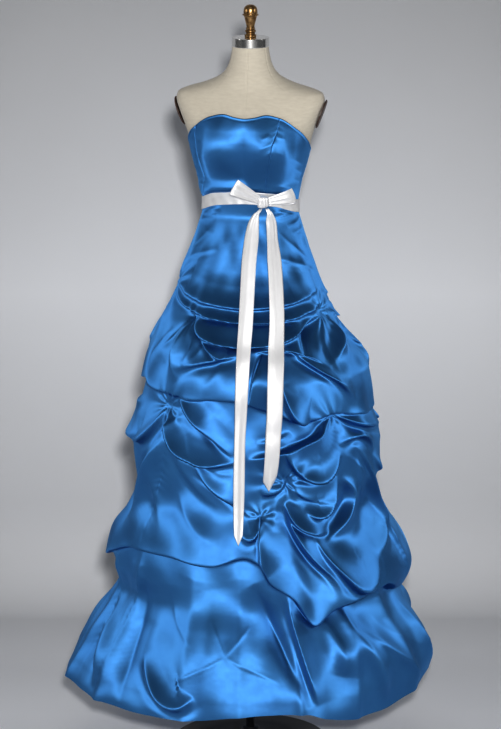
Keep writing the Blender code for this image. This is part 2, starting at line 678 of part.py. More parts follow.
# The tails of the bow: height, middle angle, width seen, for each row down the tail.
TAIL_R = (
    (1.3811, 21.5, 0.0080),
    (1.3700, 16.0, 0.0150),
    (1.3500, 12.5, 0.0260),
    (1.3100, 9.8, 0.0340),
    (1.2620, 7.6, 0.0345),
    (1.1900, 6.6, 0.0340),
    (1.1250, 6.0, 0.0340),
    (1.0700, 5.3, 0.0330),
    (0.9900, 4.9, 0.0310),
    (0.9200, 4.5, 0.0280),
    (0.8550, 4.1, 0.0255),
    (0.7550, 3.9, 0.0260),
    (0.6350, 3.8, 0.0200),
    (0.6100, 3.8, 0.0050),
)
TAIL_L = (
    (1.3811, 29.8, 0.0080),
    (1.3700, 33.0, 0.0150),
    (1.3500, 33.3, 0.0290),
    (1.3100, 31.5, 0.0310),
    (1.2620, 30.0, 0.0380),
    (1.1900, 27.6, 0.0385),
    (1.1250, 25.6, 0.0385),
    (1.0700, 23.4, 0.0390),
    (0.9900, 21.0, 0.0385),
    (0.9200, 20.0, 0.0370),
    (0.8550, 19.0, 0.0355),
    (0.7800, 18.2, 0.0330),
    (0.7600, 17.6, 0.0280),
    (0.7350, 17.0, 0.0050),
)
TAIL_OVER_SASH = 0.0075
TAIL_CLEAR = 0.0015
KNOT = (25.5, 1.3965)
KNOT_STANDS = 0.0140


def make_sash(angles, grid):
    step = all_columns()
    offsets = np.array([-0.5, 0.0, 0.5]) * RIBBON_WIDTH
    heights = waist_height(step) - offsets[:, None]
    grid_angles = np.broadcast_to(step, heights.shape)
    base = BODICE_GAP + BODICE_WALL + RIBBON_GAP + 0.0004
    inner_reach = form_reach(grid_angles, heights) + base
    worn = np.where(heights < waist_height(grid_angles), skirt_reach(grid_angles, heights) + RIBBON_GAP + 0.0004, 0)
    inner_reach = np.maximum(inner_reach, worn)
    outer = ring_point(grid_angles, inner_reach + RIBBON_WALL, heights)
    inner = ring_point(grid_angles, inner_reach, heights)
    wall("sash_band", outer, inner, "white_satin", closed=True)
    make_knot()
    make_loops()
    for name, rows in (("bow_tail_r", TAIL_R), ("bow_tail_l", TAIL_L)):
        make_tail(name, rows, angles, grid)


def knot_frame():
    """The knot's middle and its directions: out from the body, to the wearer's left, and up."""
    angle, height = KNOT
    levels = np.array([height - 0.016, height, height + 0.016])
    reach = form_reach(np.full(3, angle), levels).max()
    a = math.radians(angle)
    out = np.array([math.sin(a), -math.cos(a), 0.0])
    side = np.array([math.cos(a), math.sin(a), 0.0])
    middle = out * (reach + KNOT_STANDS) + np.array([0, 0, height])
    return middle, out, side, np.array([0, 0, 1.0])


def make_knot():
    """A wrapped block, fuller in its middle, with a flat back against the sash."""
    middle, out, side, up = knot_frame()
    points, faces = [], []
    count, rows = 16, 7
    for i in range(rows):
        v = -1 + 2 * i / (rows - 1)
        swell = (1 - abs(v) ** 2.6) ** 0.5 if abs(v) < 1 else 0.0
        for j in range(count):
            a = math.tau * j / count
            c, s = math.cos(a), math.sin(a)
            x = math.copysign(abs(c) ** 0.7, c) * (0.0125 + 0.0025 * swell)
            depth = math.copysign(abs(s) ** 0.7, s) * (0.0040 + 0.0048 * swell)
            depth = max(depth, -0.0062)
            points.append(side * x + out * depth + up * v * 0.0150)
    for i in range(rows - 1):
        for j in range(count):
            k = (j + 1) % count
            faces.append((i * count + j, i * count + k, (i + 1) * count + k, (i + 1) * count + j))
    faces.append(tuple(range(count)))
    faces.append(tuple(range((rows - 1) * count, rows * count)))
    add_object("bow_knot", points, faces, "white_satin", empty_at("gown", (0, 0, 0)), middle)


def make_loops():
    """Each loop: a ribbon that leaves the knot, turns at its end and comes back behind."""
    middle, out, side, up = knot_frame()
    rows = (
        ("bow_loop_r", -1, 0.0172, 0.062, 28.0, 0.0110, 0.0340, 0.0075, -12.0),
        ("bow_loop_l", 1, 0.0162, 0.058, 4.0, 0.0110, 0.0400, 0.0085, 2.0),
    )
    for name, hand, start, length, rise, narrow, wide, depth, lean in rows:
        a = math.radians(rise)
        along = side * hand * math.cos(a) + up * math.sin(a)
        across = -side * hand * math.sin(math.radians(rise + lean)) + up * math.cos(math.radians(rise + lean))
        count = 13
        strips = []
        for offset in (RIBBON_WALL / 2, -RIBBON_WALL / 2):
            strip = []
            for i in range(count):
                u = i / (count - 1)
                turn = math.pi * u
                run = math.sin(turn) ** 0.8 if 0 < u < 1 else 0.0
                place = start + (length - start) * run
                open_ = depth * math.cos(turn) * (0.35 + 0.65 * math.sin(turn))
                normal_run, normal_out = math.sin(turn) ** 2, math.cos(turn)
                size = math.hypot(normal_run, normal_out)
                place += offset * normal_run / size
                open_ += offset * normal_out / size
                width = narrow + (wide - narrow) * run ** 0.8
                back_off = 0.0018 * run
                centre = middle + along * place + out * (open_ + back_off)
                strip.append([centre + across * width * w for w in (0.5, 0.17, -0.17, -0.5)])
            strips.append(np.array(strip))
        wall(name, strips[0], strips[1], "white_satin")


def make_tail(name, rows, angles, grid):
    """A ribbon hanging over the skirt, clear of its folds."""
    top, foot = rows[0][0], rows[-1][0]
    heights = np.concatenate([np.linspace(top, rows[-2][0], 26), [foot]])
    middles, widths = smooth(heights, rows, 1), smooth(heights, rows, 2)
    lifts = []
    for height, angle, width in zip(heights, middles, widths):
        nearest = []
        for level in np.linspace(height - 0.02, height + 0.02, 7):
            worn = form_reach(np.array([angle]), np.array([max(level, 1.10)]))[0] + TAIL_OVER_SASH
            span = math.degrees(width / 2 / max(worn, 0.1)) + 1.5
            for off in np.linspace(-span, span, 7):
                nearest.append(outermost(angles, grid, angle + off, level))
            if level > 1.33:
                nearest.append(worn)
        lifts.append(max(nearest))
    lifts = np.array(lifts) + TAIL_CLEAR
    knot_middle = knot_frame()[0]
    lifts[0] = math.hypot(knot_middle[0], knot_middle[1]) - RIBBON_WALL / 2
    # Each row takes the straight hang between two others where that is farther out.
    hang = lifts.copy()
    for i in range(len(lifts)):
        for j in range(max(0, i - 5), i):
            for k in range(i + 1, min(len(lifts), i + 6)):
                share = (heights[j] - heights[i]) / (heights[j] - heights[k])
                hang[i] = max(hang[i], lifts[j] + (lifts[k] - lifts[j]) * share)
    outer, inner = [], []
    for height, angle, width, lift in zip(heights, middles, widths, hang):
        line_out, line_in = [], []
        for w in (-0.5, 0.0, 0.5):
            turn = angle + math.degrees(width * w / lift)
            crown = 0.0015 * (1 - abs(w) * 2)
            line_in.append(ring_point(turn, lift + crown, height))
            line_out.append(ring_point(turn, lift + crown + RIBBON_WALL, height))
        outer.append(line_out)
        inner.append(line_in)
    wall(name, np.array(outer), np.array(inner), "white_satin")


# The concealed zip's slider and pull tab at the centre back, in metres. The slider is a channel:
# its length, width, floor and ears. The tab's neck swings between the ears.
SLIDER_LENGTH = 0.0070
SLIDER_WIDTH = 0.0052
SLIDER_FLOOR = 0.0012
SLIDER_EAR = 0.0009
SLIDER_DEPTH = 0.0034
PIVOT_OUT = 0.0025
SLIDER_DROP = 0.0100
TAB_THICK = 0.0012
# Down the tab from its top end: distance below the pivot, half width.
TAB_ROWS = (
    (-0.0008, 0.0012),
    (0.0043, 0.0012),
    (0.0060, 0.0023),
    (0.0190, 0.0026),
    (0.0212, 0.0021),
    (0.0220, 0.0012),
)


def prism(outline, first, second, across, along, depth):
    """Points and faces of an outline in the across and along directions, drawn out along depth."""
    points = []
    for d in (first, second):
        points += [across * x + along * z + depth * d for x, z in outline]
    count = len(outline)
    faces = [tuple(range(count)), tuple(range(count, 2 * count))]
    faces += [(j, (j + 1) % count, count + (j + 1) % count, count + j) for j in range(count)]
    return points, faces


def make_zip():
    height = neckline(np.array([180.0]))[0] - SLIDER_DROP
    near = form_reach(np.array([180.0, 180.0]), np.array([height + 0.01, height - 0.01]))
    slope = (near[0] - near[1]) / 0.02
    reach = form_reach(np.array([180.0]), np.array([height]))[0] + BODICE_GAP + BODICE_WALL
    up = np.array([0, slope, 1.0]) / math.hypot(1.0, slope)
    out = np.array([0, 1.0, -slope]) / math.hypot(1.0, slope)
    side = np.array([1.0, 0, 0])
    middle = np.array([0, reach + 0.0005, height])
    half, wall_in = SLIDER_WIDTH / 2, SLIDER_WIDTH / 2 - SLIDER_EAR
    channel = (
        (-half, 0.0), (half, 0.0), (half, SLIDER_DEPTH), (wall_in, SLIDER_DEPTH), (wall_in, SLIDER_FLOOR),
        (-wall_in, SLIDER_FLOOR), (-wall_in, SLIDER_DEPTH), (-half, SLIDER_DEPTH),
    )
    ends = SLIDER_LENGTH / 2
    points, faces = prism(channel, -ends, ends, side, out, up)
    add_object("zip_slider", points, faces, "steel", empty_at("gown", (0, 0, 0)), middle)
    pivot = middle + out * PIVOT_OUT
    hinge = empty_at("zip_hinge", tuple(pivot))
    outline = [(half_width, -below) for below, half_width in TAB_ROWS]
    outline += [(-x, z) for x, z in reversed(outline)]
    points, faces = prism(
        outline, -TAB_THICK / 2, TAB_THICK / 2, side, np.array([0, 0, 1.0]), np.array([0, 1.0, 0])
    )
    add_object("zip_tab", points, faces, "steel", hinge, tuple(pivot))


def main():
    clear_scene()
    make_form()
    make_neck()
    make_arm_plate("arm_plate_l", 1)
    make_arm_plate("arm_plate_r", -1)
    make_stand()
    make_bodice()
    angles, grid = make_skirt()
    make_sash(angles, grid)
    make_zip()


main()
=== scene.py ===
"""The looks of the strapless satin prom dress on its dress form: cloth, ribbon, form and studio.

Row frame in metres, +Z up, front towards -Y, the wearer's left towards +X. Angles are degrees
round the pole from the front, growing towards +X, as in the part's own source.
"""

import math

import bpy
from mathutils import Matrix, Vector
import numpy as np


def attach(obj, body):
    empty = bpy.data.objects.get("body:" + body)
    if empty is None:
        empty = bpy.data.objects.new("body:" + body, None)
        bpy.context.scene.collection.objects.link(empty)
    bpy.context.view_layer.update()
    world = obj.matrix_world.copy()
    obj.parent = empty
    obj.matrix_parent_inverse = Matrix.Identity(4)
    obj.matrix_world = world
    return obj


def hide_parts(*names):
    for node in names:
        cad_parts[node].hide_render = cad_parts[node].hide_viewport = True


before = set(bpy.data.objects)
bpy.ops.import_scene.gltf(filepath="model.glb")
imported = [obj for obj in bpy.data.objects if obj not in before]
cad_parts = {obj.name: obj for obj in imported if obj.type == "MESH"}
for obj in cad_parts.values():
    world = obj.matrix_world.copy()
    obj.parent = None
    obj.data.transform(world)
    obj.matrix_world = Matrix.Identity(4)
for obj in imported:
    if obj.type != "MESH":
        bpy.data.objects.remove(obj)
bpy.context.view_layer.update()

# Named sizes, as in the part.
CLOTH = 0.0014
BODICE_GAP = 0.0022
BODICE_WALL = 0.0016
BODICE_CLOTH = 0.0012
RIBBON_WALL = 0.0007
RIBBON_GAP = 0.0012
RIBBON_WIDTH = 0.031
NECK_TOP = 1.7535
CAP_HEIGHT = 0.0215
CAP_RADIUS = 0.0445
CAP_ROUND = 0.0014
TORSO_FOOT = 1.060
POLE_RADIUS = 0.011
BASE_RADIUS = 0.195
COLLAR_TOP = 0.048
SEAM_GAP = 0.00002
WIDE_FOLD = 0.040
SIDE_SEAM = 96.0
HIP_FOOT = 1.10
# The picture is taken from here: degrees round from the front, metres away and high, degrees down.
VIEW_AZIMUTH = 9.0
CAMERA_AWAY, CAMERA_HIGH, CAMERA_PITCH = 8.0, 2.93, 13.73
CAMERA_LENS, SENSOR_WIDTH = 167.46, 36
PICTURE_GAMMA = 0.76

FORM_ROWS = (
    (1.06, 0.128, 0.088, 0.1, 2.1), (1.066, 0.15, 0.1, 0.118, 2.1), (1.085, 0.16, 0.108, 0.13, 2.1),
    (1.125, 0.164, 0.111, 0.137, 2.15), (1.17, 0.161, 0.109, 0.136, 2.2),
    (1.22, 0.149, 0.103, 0.126, 2.2), (1.27, 0.136, 0.096, 0.11, 2.2), (1.32, 0.121, 0.089, 0.095, 2.2),
    (1.36, 0.1115, 0.084, 0.086, 2.2), (1.39, 0.111, 0.084, 0.083, 2.2),
    (1.43, 0.119, 0.09, 0.086, 2.2), (1.47, 0.131, 0.096, 0.092, 2.25), (1.505, 0.14, 0.1, 0.097, 2.3),
    (1.535, 0.146, 0.101, 0.1, 2.35), (1.565, 0.156, 0.097, 0.1, 2.4), (1.6, 0.17, 0.085, 0.094, 2.4),
    (1.628, 0.178, 0.072, 0.082, 2.3), (1.643, 0.174, 0.064, 0.072, 2.2),
    (1.654, 0.152, 0.059, 0.065, 2.1), (1.665, 0.115, 0.056, 0.06, 2.0),
    (1.676, 0.087, 0.054, 0.057, 2.0), (1.688, 0.068, 0.052, 0.054, 2.0),
    (1.705, 0.055, 0.0485, 0.05, 2.0), (1.725, 0.048, 0.0455, 0.0465, 2.0),
    (1.7535, 0.0435, 0.0435, 0.0435, 2.0),
)
BUST = (30.0, 1.515, 0.021, 24.0, 0.052)
NECKLINE = (
    (0, 1.595), (14, 1.598), (30, 1.604), (44, 1.597), (58, 1.57), (74, 1.538), (94, 1.509),
    (130, 1.498), (180, 1.492),
)
WAIST = ((0, 1.4040), (40, 1.3980), (75, 1.3780), (110, 1.3660), (180, 1.3620))
SKIRT_ROWS = (
    (1.4, 0.09, 0.09, 0.07, 0.07), (1.34, 0.118, 0.116, 0.094, 0.098),
    (1.28, 0.139, 0.134, 0.116, 0.12), (1.22, 0.163, 0.157, 0.136, 0.142),
    (1.16, 0.182, 0.178, 0.158, 0.166), (1.1, 0.212, 0.204, 0.188, 0.196),
    (1.04, 0.23, 0.24, 0.218, 0.228), (0.98, 0.246, 0.285, 0.24, 0.25),
    (0.92, 0.256, 0.287, 0.246, 0.258), (0.86, 0.277, 0.3, 0.254, 0.268),
    (0.8, 0.29, 0.316, 0.266, 0.282), (0.74, 0.283, 0.312, 0.27, 0.284),
    (0.68, 0.28, 0.3, 0.276, 0.288), (0.62, 0.3, 0.33, 0.29, 0.304), (0.56, 0.328, 0.363, 0.306, 0.322),
    (0.5, 0.335, 0.38, 0.318, 0.33), (0.45, 0.318, 0.354, 0.328, 0.336),
    (0.4, 0.335, 0.374, 0.35, 0.358), (0.35, 0.363, 0.406, 0.376, 0.382),
    (0.3, 0.394, 0.431, 0.398, 0.404), (0.25, 0.43, 0.443, 0.416, 0.42),
    (0.2, 0.455, 0.44, 0.427, 0.432),
)
RIM_ROWS = (
    (-180, 0.94, 0.5, 0.205), (-155, 0.915, 0.535, 0.2), (-125, 0.945, 0.49, 0.21),
    (-95, 0.95, 0.5, 0.207), (-70, 0.975, 0.54, 0.206), (-50, 0.955, 0.58, 0.206),
    (-28, 0.955, 0.592, 0.202), (-8, 0.966, 0.574, 0.208), (6, 0.962, 0.59, 0.222),
    (13, 0.945, 0.575, 0.225), (17, 0.938, 0.535, 0.225), (26, 0.92, 0.502, 0.224),
    (34, 0.904, 0.44, 0.205), (43, 0.908, 0.478, 0.196), (54, 0.922, 0.494, 0.197),
    (66, 0.916, 0.5, 0.208), (80, 0.904, 0.458, 0.226), (100, 0.9, 0.45, 0.222),
    (125, 0.935, 0.515, 0.208), (155, 0.905, 0.48, 0.212), (180, 0.94, 0.5, 0.205),
)
# The folds. Each runs from start through middle to end: angle, height three times; then in mm how
# far it stands out, how soft it is on the left hand and on the right hand going along it, and how
# far it laps over towards its right hand.
FOLD_ROWS = (
    # swags from hip to hip under the sash
    (-86, 1.198, 0, 1.164, 86, 1.184, 8, 22, 9, 9), (-78, 1.172, 0, 1.134, 80, 1.148, 11, 20, 8, 11),
    (-38, 1.134, 2, 1.084, 68, 1.126, 17, 24, 9, 14),
    # the upper tier, front
    (-34, 1.121, -40, 1.052, -36, 0.985, 12, 22, 18, 4),
    (-37, 1.006, -18, 1.037, 3, 1.051, 8, 18, 10, 5), (-34, 1.125, -17, 1.068, -6, 1.05, 8, 16, 7, 8),
    (9, 1.055, 38, 1.064, 56, 1.01, 10, 22, 8, 10), (35, 1.06, 50, 1.012, 66, 0.948, 10, 18, 9, 7),
    (17, 1.055, 12, 1.0, 7, 0.93, 12, 34, 5, 8), (77, 1.113, 78, 1.065, 54, 1.015, 12, 20, 15, 4),
    (66, 1.122, 51, 1.09, 42, 1.05, -12, 16, 16, 0), (26, 0.985, 32, 0.925, 40, 0.903, 12, 20, 8, 8),
    # the lower tier, front
    (48, 0.895, 39, 0.838, 7, 0.806, 12, 22, 9, 12), (-34, 0.946, -20, 0.902, 0, 0.813, 15, 22, 9, 10),
    (-42, 0.905, -26, 0.822, 2, 0.8, 15, 20, 9, 13), (-20, 0.778, -6, 0.736, 9, 0.674, 12, 28, 7, 10),
    (-66, 0.823, -56, 0.828, -44, 0.905, 14, 22, 12, 4),
    (-34, 0.865, -56, 0.725, -66, 0.59, 12, 40, 13, 3), (4, 0.641, 10, 0.635, 14, 0.668, 6, 12, 7, 5),
    (14, 0.726, 21, 0.736, 27, 0.76, 8, 14, 8, 5), (25, 0.827, 41, 0.762, 55, 0.811, 15, 24, 9, 12),
    (35, 0.688, 46, 0.676, 53, 0.756, 12, 17, 8, 8), (26, 0.706, 34, 0.652, 47, 0.626, 14, 28, 8, 11),
    (55, 0.75, 61, 0.682, 43, 0.606, 14, 20, 11, 5), (37, 0.646, 50, 0.528, 66, 0.558, 16, 24, 10, 11),
    (64, 0.555, 80, 0.65, 57, 0.806, 11, 24, 17, 3), (26, 0.7, 33, 0.606, 45, 0.514, 16, 26, 9, 9),
    (15, 0.69, 14, 0.62, 15, 0.556, 12, 32, 6, 8), (62, 0.826, 78, 0.69, 86, 0.47, 13, 28, 10, 4),
    (55, 0.826, 68, 0.846, 77, 0.79, 13, 18, 10, 5), (76, 0.79, 86, 0.742, 104, 0.705, 10, 24, 12, 6),
    (55, 0.905, 72, 0.874, 104, 0.828, 15, 26, 12, 10),
    (84, 0.716, 98, 0.698, 122, 0.704, -17, 24, 20, 0),
    (-120, 0.704, -94, 0.7, -70, 0.712, -12, 22, 20, 0),
    (-104, 0.83, -86, 0.806, -66, 0.824, 14, 28, 14, 8),
    # the flounce, front
    (-64, 0.43, -55, 0.333, -51, 0.222, 17, 44, 14, 3),
    (-33, 0.33, -19, 0.245, -10, 0.262, 14, 26, 14, 4),
    (10, 0.515, 20, 0.385, 28, 0.236, -15, 24, 24, 0), (24, 0.497, 28, 0.35, 31, 0.24, 14, 34, 8, 6),
    (38, 0.43, 41, 0.36, 41, 0.3, 10, 22, 22, 0), (42, 0.476, 51, 0.35, 58, 0.212, 20, 36, 28, 0),
    (50, 0.407, 64, 0.32, 76, 0.228, 13, 26, 22, 0), (-9, 0.5, -6, 0.37, -5, 0.215, 9, 46, 46, 0),
    (-42, 0.5, -41, 0.36, -37, 0.215, -10, 26, 26, 0), (-82, 0.45, -79, 0.34, -74, 0.21, 16, 40, 30, 0),
    (82, 0.43, 86, 0.32, 92, 0.215, 16, 38, 28, 0),
    # the hidden side and back: swags of the upper tier
    (84, 1.18, 130, 1.15, 188, 1.176, 9, 22, 9, 8), (80, 1.14, 124, 1.096, 176, 1.132, 14, 24, 9, 12),
    (168, 1.15, 214, 1.104, 262, 1.176, 13, 24, 9, 11),
    (180, 1.118, 226, 1.062, 268, 1.12, 15, 26, 9, 13),
    (96, 1.06, 122, 1.012, 160, 1.046, 12, 24, 9, 11),
    (150, 1.086, 178, 1.02, 204, 1.058, 13, 26, 9, 11),
    (204, 1.04, 236, 0.996, 272, 1.05, 12, 22, 9, 11), (92, 1.09, 104, 1.03, 100, 0.96, 12, 24, 14, 3),
    (262, 1.1, 266, 1.04, 258, 0.975, 11, 24, 14, 3), (146, 1.03, 150, 0.98, 146, 0.93, 10, 22, 14, 3),
    # the lower tier, round the back
    (104, 0.868, 134, 0.806, 168, 0.862, 14, 26, 9, 12),
    (118, 0.8, 150, 0.738, 186, 0.796, 14, 24, 9, 12),
    (168, 0.88, 204, 0.82, 244, 0.872, 14, 26, 9, 12),
    (186, 0.806, 222, 0.746, 262, 0.812, 15, 24, 9, 13),
    (106, 0.69, 132, 0.64, 158, 0.684, 13, 24, 9, 11), (150, 0.706, 184, 0.65, 214, 0.7, 13, 24, 9, 11),
    (208, 0.684, 238, 0.628, 270, 0.676, 13, 24, 9, 11),
    (112, 0.61, 142, 0.566, 172, 0.602, 11, 22, 9, 9), (188, 0.612, 220, 0.562, 254, 0.6, 12, 22, 9, 9),
    (112, 0.88, 116, 0.79, 110, 0.7, 11, 24, 16, 3), (170, 0.85, 174, 0.76, 168, 0.66, 11, 24, 16, 3),
    (250, 0.86, 252, 0.76, 246, 0.66, 11, 24, 16, 3),
    # the flounce, round the back
    (104, 0.44, 108, 0.33, 110, 0.215, -13, 28, 28, 0),
    (120, 0.45, 124, 0.33, 129, 0.21, 17, 38, 30, 0), (140, 0.44, 144, 0.33, 148, 0.21, -13, 28, 26, 0),
    (157, 0.43, 160, 0.33, 163, 0.21, 15, 36, 30, 0), (176, 0.45, 178, 0.34, 179, 0.21, -11, 28, 28, 0),
    (196, 0.45, 194, 0.33, 191, 0.21, 17, 36, 30, 0), (214, 0.45, 211, 0.33, 209, 0.21, -13, 28, 28, 0),
    (232, 0.44, 229, 0.33, 228, 0.21, 16, 38, 30, 0), (252, 0.43, 250, 0.33, 249, 0.21, -12, 28, 28, 0),
    (268, 0.44, 267, 0.33, 268, 0.21, 13, 34, 28, 0),
)
# Pulls in the cloth just under the ribbon, in the same columns.
PULL_ROWS = (
    (40, 1.376, 58, 1.381, 82, 1.384, 3.4, 4, 5, 0), (42, 1.363, 60, 1.369, 84, 1.374, 3.4, 4, 5, 0),
    (44, 1.351, 62, 1.356, 86, 1.363, 3.0, 4, 6, 0), (58, 1.333, 72, 1.338, 90, 1.347, 3.0, 5, 6, 0),
    (62, 1.316, 76, 1.318, 92, 1.326, 2.5, 6, 7, 0), (-60, 1.377, -48, 1.38, -34, 1.384, 2.4, 4, 4, 0),
    (-66, 1.366, -52, 1.371, -36, 1.376, 2.8, 4, 4, 0),
    (-70, 1.355, -56, 1.359, -42, 1.364, 2.8, 4, 5, 0),
    (-74, 1.339, -62, 1.345, -46, 1.35, 2.4, 5, 5, 0),
)

# The long soft flutes of the lowest tier, in the same columns.
FLUTE_ROWS = (
    (-66, 0.72, -70, 0.3, -76, -0.1, 12, 20, 20, 0), (-44, 0.72, -46, 0.3, -50, -0.1, 17, 22, 22, 0),
    (-17, 0.72, -14, 0.32, -8, -0.1, 13, 22, 26, 0), (4, 0.72, 5, 0.32, 8, -0.1, 8, 22, 18, 0),
    (24, 0.72, 25, 0.3, 26, -0.1, 14, 17, 14, 0), (47, 0.72, 45, 0.3, 40, -0.1, 15, 18, 20, 0),
    (66, 0.72, 70, 0.3, 76, -0.1, 13, 26, 24, 0),
)
FLUTE_TOP = 0.06
# How the large folds' rise, softness and lap are scaled from their rows.
FOLD_GAIN = (2.1, 0.85, 1.1)
# Relief begins this far under the waist, grows over the next length, and laps end above the hem.
CALM_FROM, CALM_OVER, HEM_CALM = 0.05, 0.06, 0.03
# The pulls begin under the ribbon's lower edge and grow over this height.
PULL_FROM, PULL_OVER = 0.017, 0.008
# The relief left where the front view sees the cloth edge on, and the degrees over which it grows.
EDGE_RELIEF, EDGE_OVER = 0.55, 35

# Finer creases of the cloth's finish, in the same columns.
CREASE_ROWS = (
    # drag lines from the hips up to the sash
    (-84, 1.232, -58, 1.262, -30, 1.282, 2.2, 9, 5, 1),
    (-80, 1.252, -60, 1.3, -44, 1.334, 2.0, 8, 5, 1), (84, 1.216, 58, 1.246, 34, 1.262, 2.2, 5, 9, 1),
    (82, 1.24, 60, 1.286, 44, 1.326, 2.0, 5, 8, 1), (-62, 1.352, -48, 1.346, -34, 1.35, 1.4, 6, 4, 0),
    (76, 1.336, 62, 1.33, 46, 1.338, 1.4, 4, 6, 0), (-66, 1.33, -52, 1.318, -40, 1.316, 1.4, 6, 4, 0),
    # creases of the upper tier that run down from the tacks
    (-38, 1.12, -46, 1.08, -58, 1.04, 5, 12, 6, 3), (-36, 1.116, -30, 1.06, -34, 1.02, 4, 10, 6, 3),
    (-24, 1.1, -22, 1.066, -30, 1.03, 3, 9, 6, 2), (-52, 1.09, -62, 1.04, -66, 0.995, 5, 16, 9, 3),
    (70, 1.112, 62, 1.06, 60, 1.0, 5, 12, 7, 3), (62, 1.118, 44, 1.1, 30, 1.092, 4, 10, 6, 3),
    (20, 1.04, 24, 1.0, 34, 0.96, 4, 14, 8, 2), (-8, 1.04, -10, 1.01, -18, 0.985, 3, 14, 8, 2),
    (56, 1.004, 62, 0.96, 76, 0.93, 5, 14, 8, 3),
    # creases of the lower tier
    (-30, 0.9, -40, 0.86, -50, 0.8, 5, 14, 7, 3), (-26, 0.86, -14, 0.8, 0, 0.772, 6, 16, 8, 4),
    (-34, 0.84, -24, 0.76, -6, 0.69, 6, 22, 10, 3), (-48, 0.78, -44, 0.7, -34, 0.63, 6, 26, 14, 2),
    (-30, 0.72, -18, 0.65, -4, 0.614, 5, 22, 12, 3), (30, 0.87, 22, 0.85, 12, 0.846, 4, 10, 6, 3),
    (30, 0.75, 36, 0.72, 46, 0.712, 5, 10, 6, 4), (28, 0.744, 40, 0.706, 52, 0.7, 4, 9, 6, 3),
    (24, 0.736, 22, 0.69, 20, 0.64, 5, 12, 7, 3), (66, 0.8, 66, 0.74, 72, 0.66, 5, 14, 8, 3),
    (58, 0.88, 74, 0.85, 96, 0.8, 5, 12, 8, 4), (-70, 0.9, -84, 0.88, -100, 0.89, 6, 16, 8, 5),
    # pressed creases of the flounce
    (0, 0.355, 4, 0.386, 9, 0.42, 1.6, 8, 3, 0), (0, 0.355, -3, 0.395, -7, 0.438, 1.6, 8, 3, 0),
    (0, 0.355, -9, 0.322, -18, 0.29, 1.6, 8, 3, 0), (0, 0.355, 9, 0.326, 19, 0.296, 1.6, 8, 3, 0),
    (-26, 0.48, -22, 0.42, -12, 0.372, 1.6, 12, 5, 0), (-48, 0.46, -50, 0.4, -46, 0.33, 2.2, 14, 6, 0),
    (60, 0.42, 68, 0.36, 84, 0.3, 2.4, 14, 6, 0),
)
# How far each rim stands out, its softness above and below, its overhang and how far up it is
# moved so that its lowest line stays in place, in mm.
UPPER_RIM = (19, 58, 15, 24, 7)
LOWER_RIM = (30, 68, 16, 32, 9)
# Where the cloth is tacked up: angle, height, reach of the gathers, count of ridges, depth in mm.
TACK_ROWS = (
    (-80, 1.186, 46, 11, 2.6), (-36, 1.122, 34, 9, 2.8), (72, 1.128, 46, 11, 2.8),
    (54, 0.902, 40, 10, 3.0), (-42, 0.914, 44, 11, 3.0), (26, 0.752, 40, 11, 3.0),
    (14, 0.672, 26, 8, 2.2), (100, 1.128, 44, 11, 2.6), (170, 1.13, 44, 11, 2.6),
    (236, 1.112, 44, 11, 2.6), (110, 0.876, 42, 11, 2.8), (172, 0.858, 42, 11, 2.8),
    (238, 0.872, 42, 11, 2.8),
)
# Puckered seams of the skirt: from angle and height to angle and height, depth in mm.
SEAM_ROWS = (
    (-38, 0.82, -46, 0.6, 1.2), (-46, 0.56, -49, 0.23, 0.7), (-66, 0.56, -64, 0.23, 0.8),
    (84, 0.56, 88, 0.23, 0.8), (180, 1.34, 180, 1.19, 0.6),
)


def smooth(at, table, column):
    """Smooth reading of a table's column at the values of its first column."""
    rows = sorted(table)
    x = np.array([row[0] for row in rows], float)
    y = np.array([row[column] for row in rows], float)
    step = np.diff(x)
    rise = np.diff(y) / step
    slope = np.zeros_like(y)
    same = rise[1:] * rise[:-1] > 0
    mean = 2 * rise[1:] * rise[:-1] / np.where(same, rise[1:] + rise[:-1], 1)
    slope[1:-1] = np.where(same, mean, 0)
    at = np.clip(np.asarray(at, float), x[0], x[-1])
    i = np.clip(np.searchsorted(x, at) - 1, 0, len(x) - 2)
    t = (at - x[i]) / step[i]
    a = (1 + 2 * t) * (1 - t) ** 2 * y[i] + t * (1 - t) ** 2 * step[i] * slope[i]
    b = t * t * (3 - 2 * t) * y[i + 1] - t * t * (1 - t) * step[i] * slope[i + 1]
    return a + b


def turned(angle):
    """The angle brought between -180 and 180."""
    return (np.asarray(angle, float) + 180) % 360 - 180


def bell(offset, width):
    """A soft bump: 1 at an offset of 0, and almost nothing beyond twice the width."""
    return np.exp(-((offset / width) ** 2))


def eased(share):
    """A share held between 0 and 1, leaving and arriving gently."""
    share = np.clip(share, 0, 1)
    return share * share * (3 - 2 * share)


def form_reach(angle, height):
    """How far the form's side is from the pole's line."""
    a = np.radians(turned(angle))
    half = smooth(height, FORM_ROWS, 1)
    front = smooth(height, FORM_ROWS, 2)
    back = smooth(height, FORM_ROWS, 3)
    power = smooth(height, FORM_ROWS, 4)
    depth = np.where(np.cos(a) > 0, front, back)
    ring = (np.abs(np.sin(a) / half) ** power + np.abs(np.cos(a) / depth) ** power) ** (-1 / power)
    place, level, out, spread, tall = BUST
    off = np.abs(np.abs(turned(angle)) - place) / spread
    return ring + out * np.exp(-off ** 2 - ((height - level) / tall) ** 2)


def waist_height(angle):
    return smooth(np.abs(turned(angle)), WAIST, 1)


def neckline(angle):
    return smooth(np.abs(turned(angle)), NECKLINE, 1)


def worn_under(angle, height):
    """The least reach of cloth over the form, and 0 below the form's foot."""
    worn = form_reach(angle, np.maximum(height, HIP_FOOT)) + BODICE_GAP + BODICE_WALL
    return np.where(np.asarray(height) > HIP_FOOT, worn, 0)


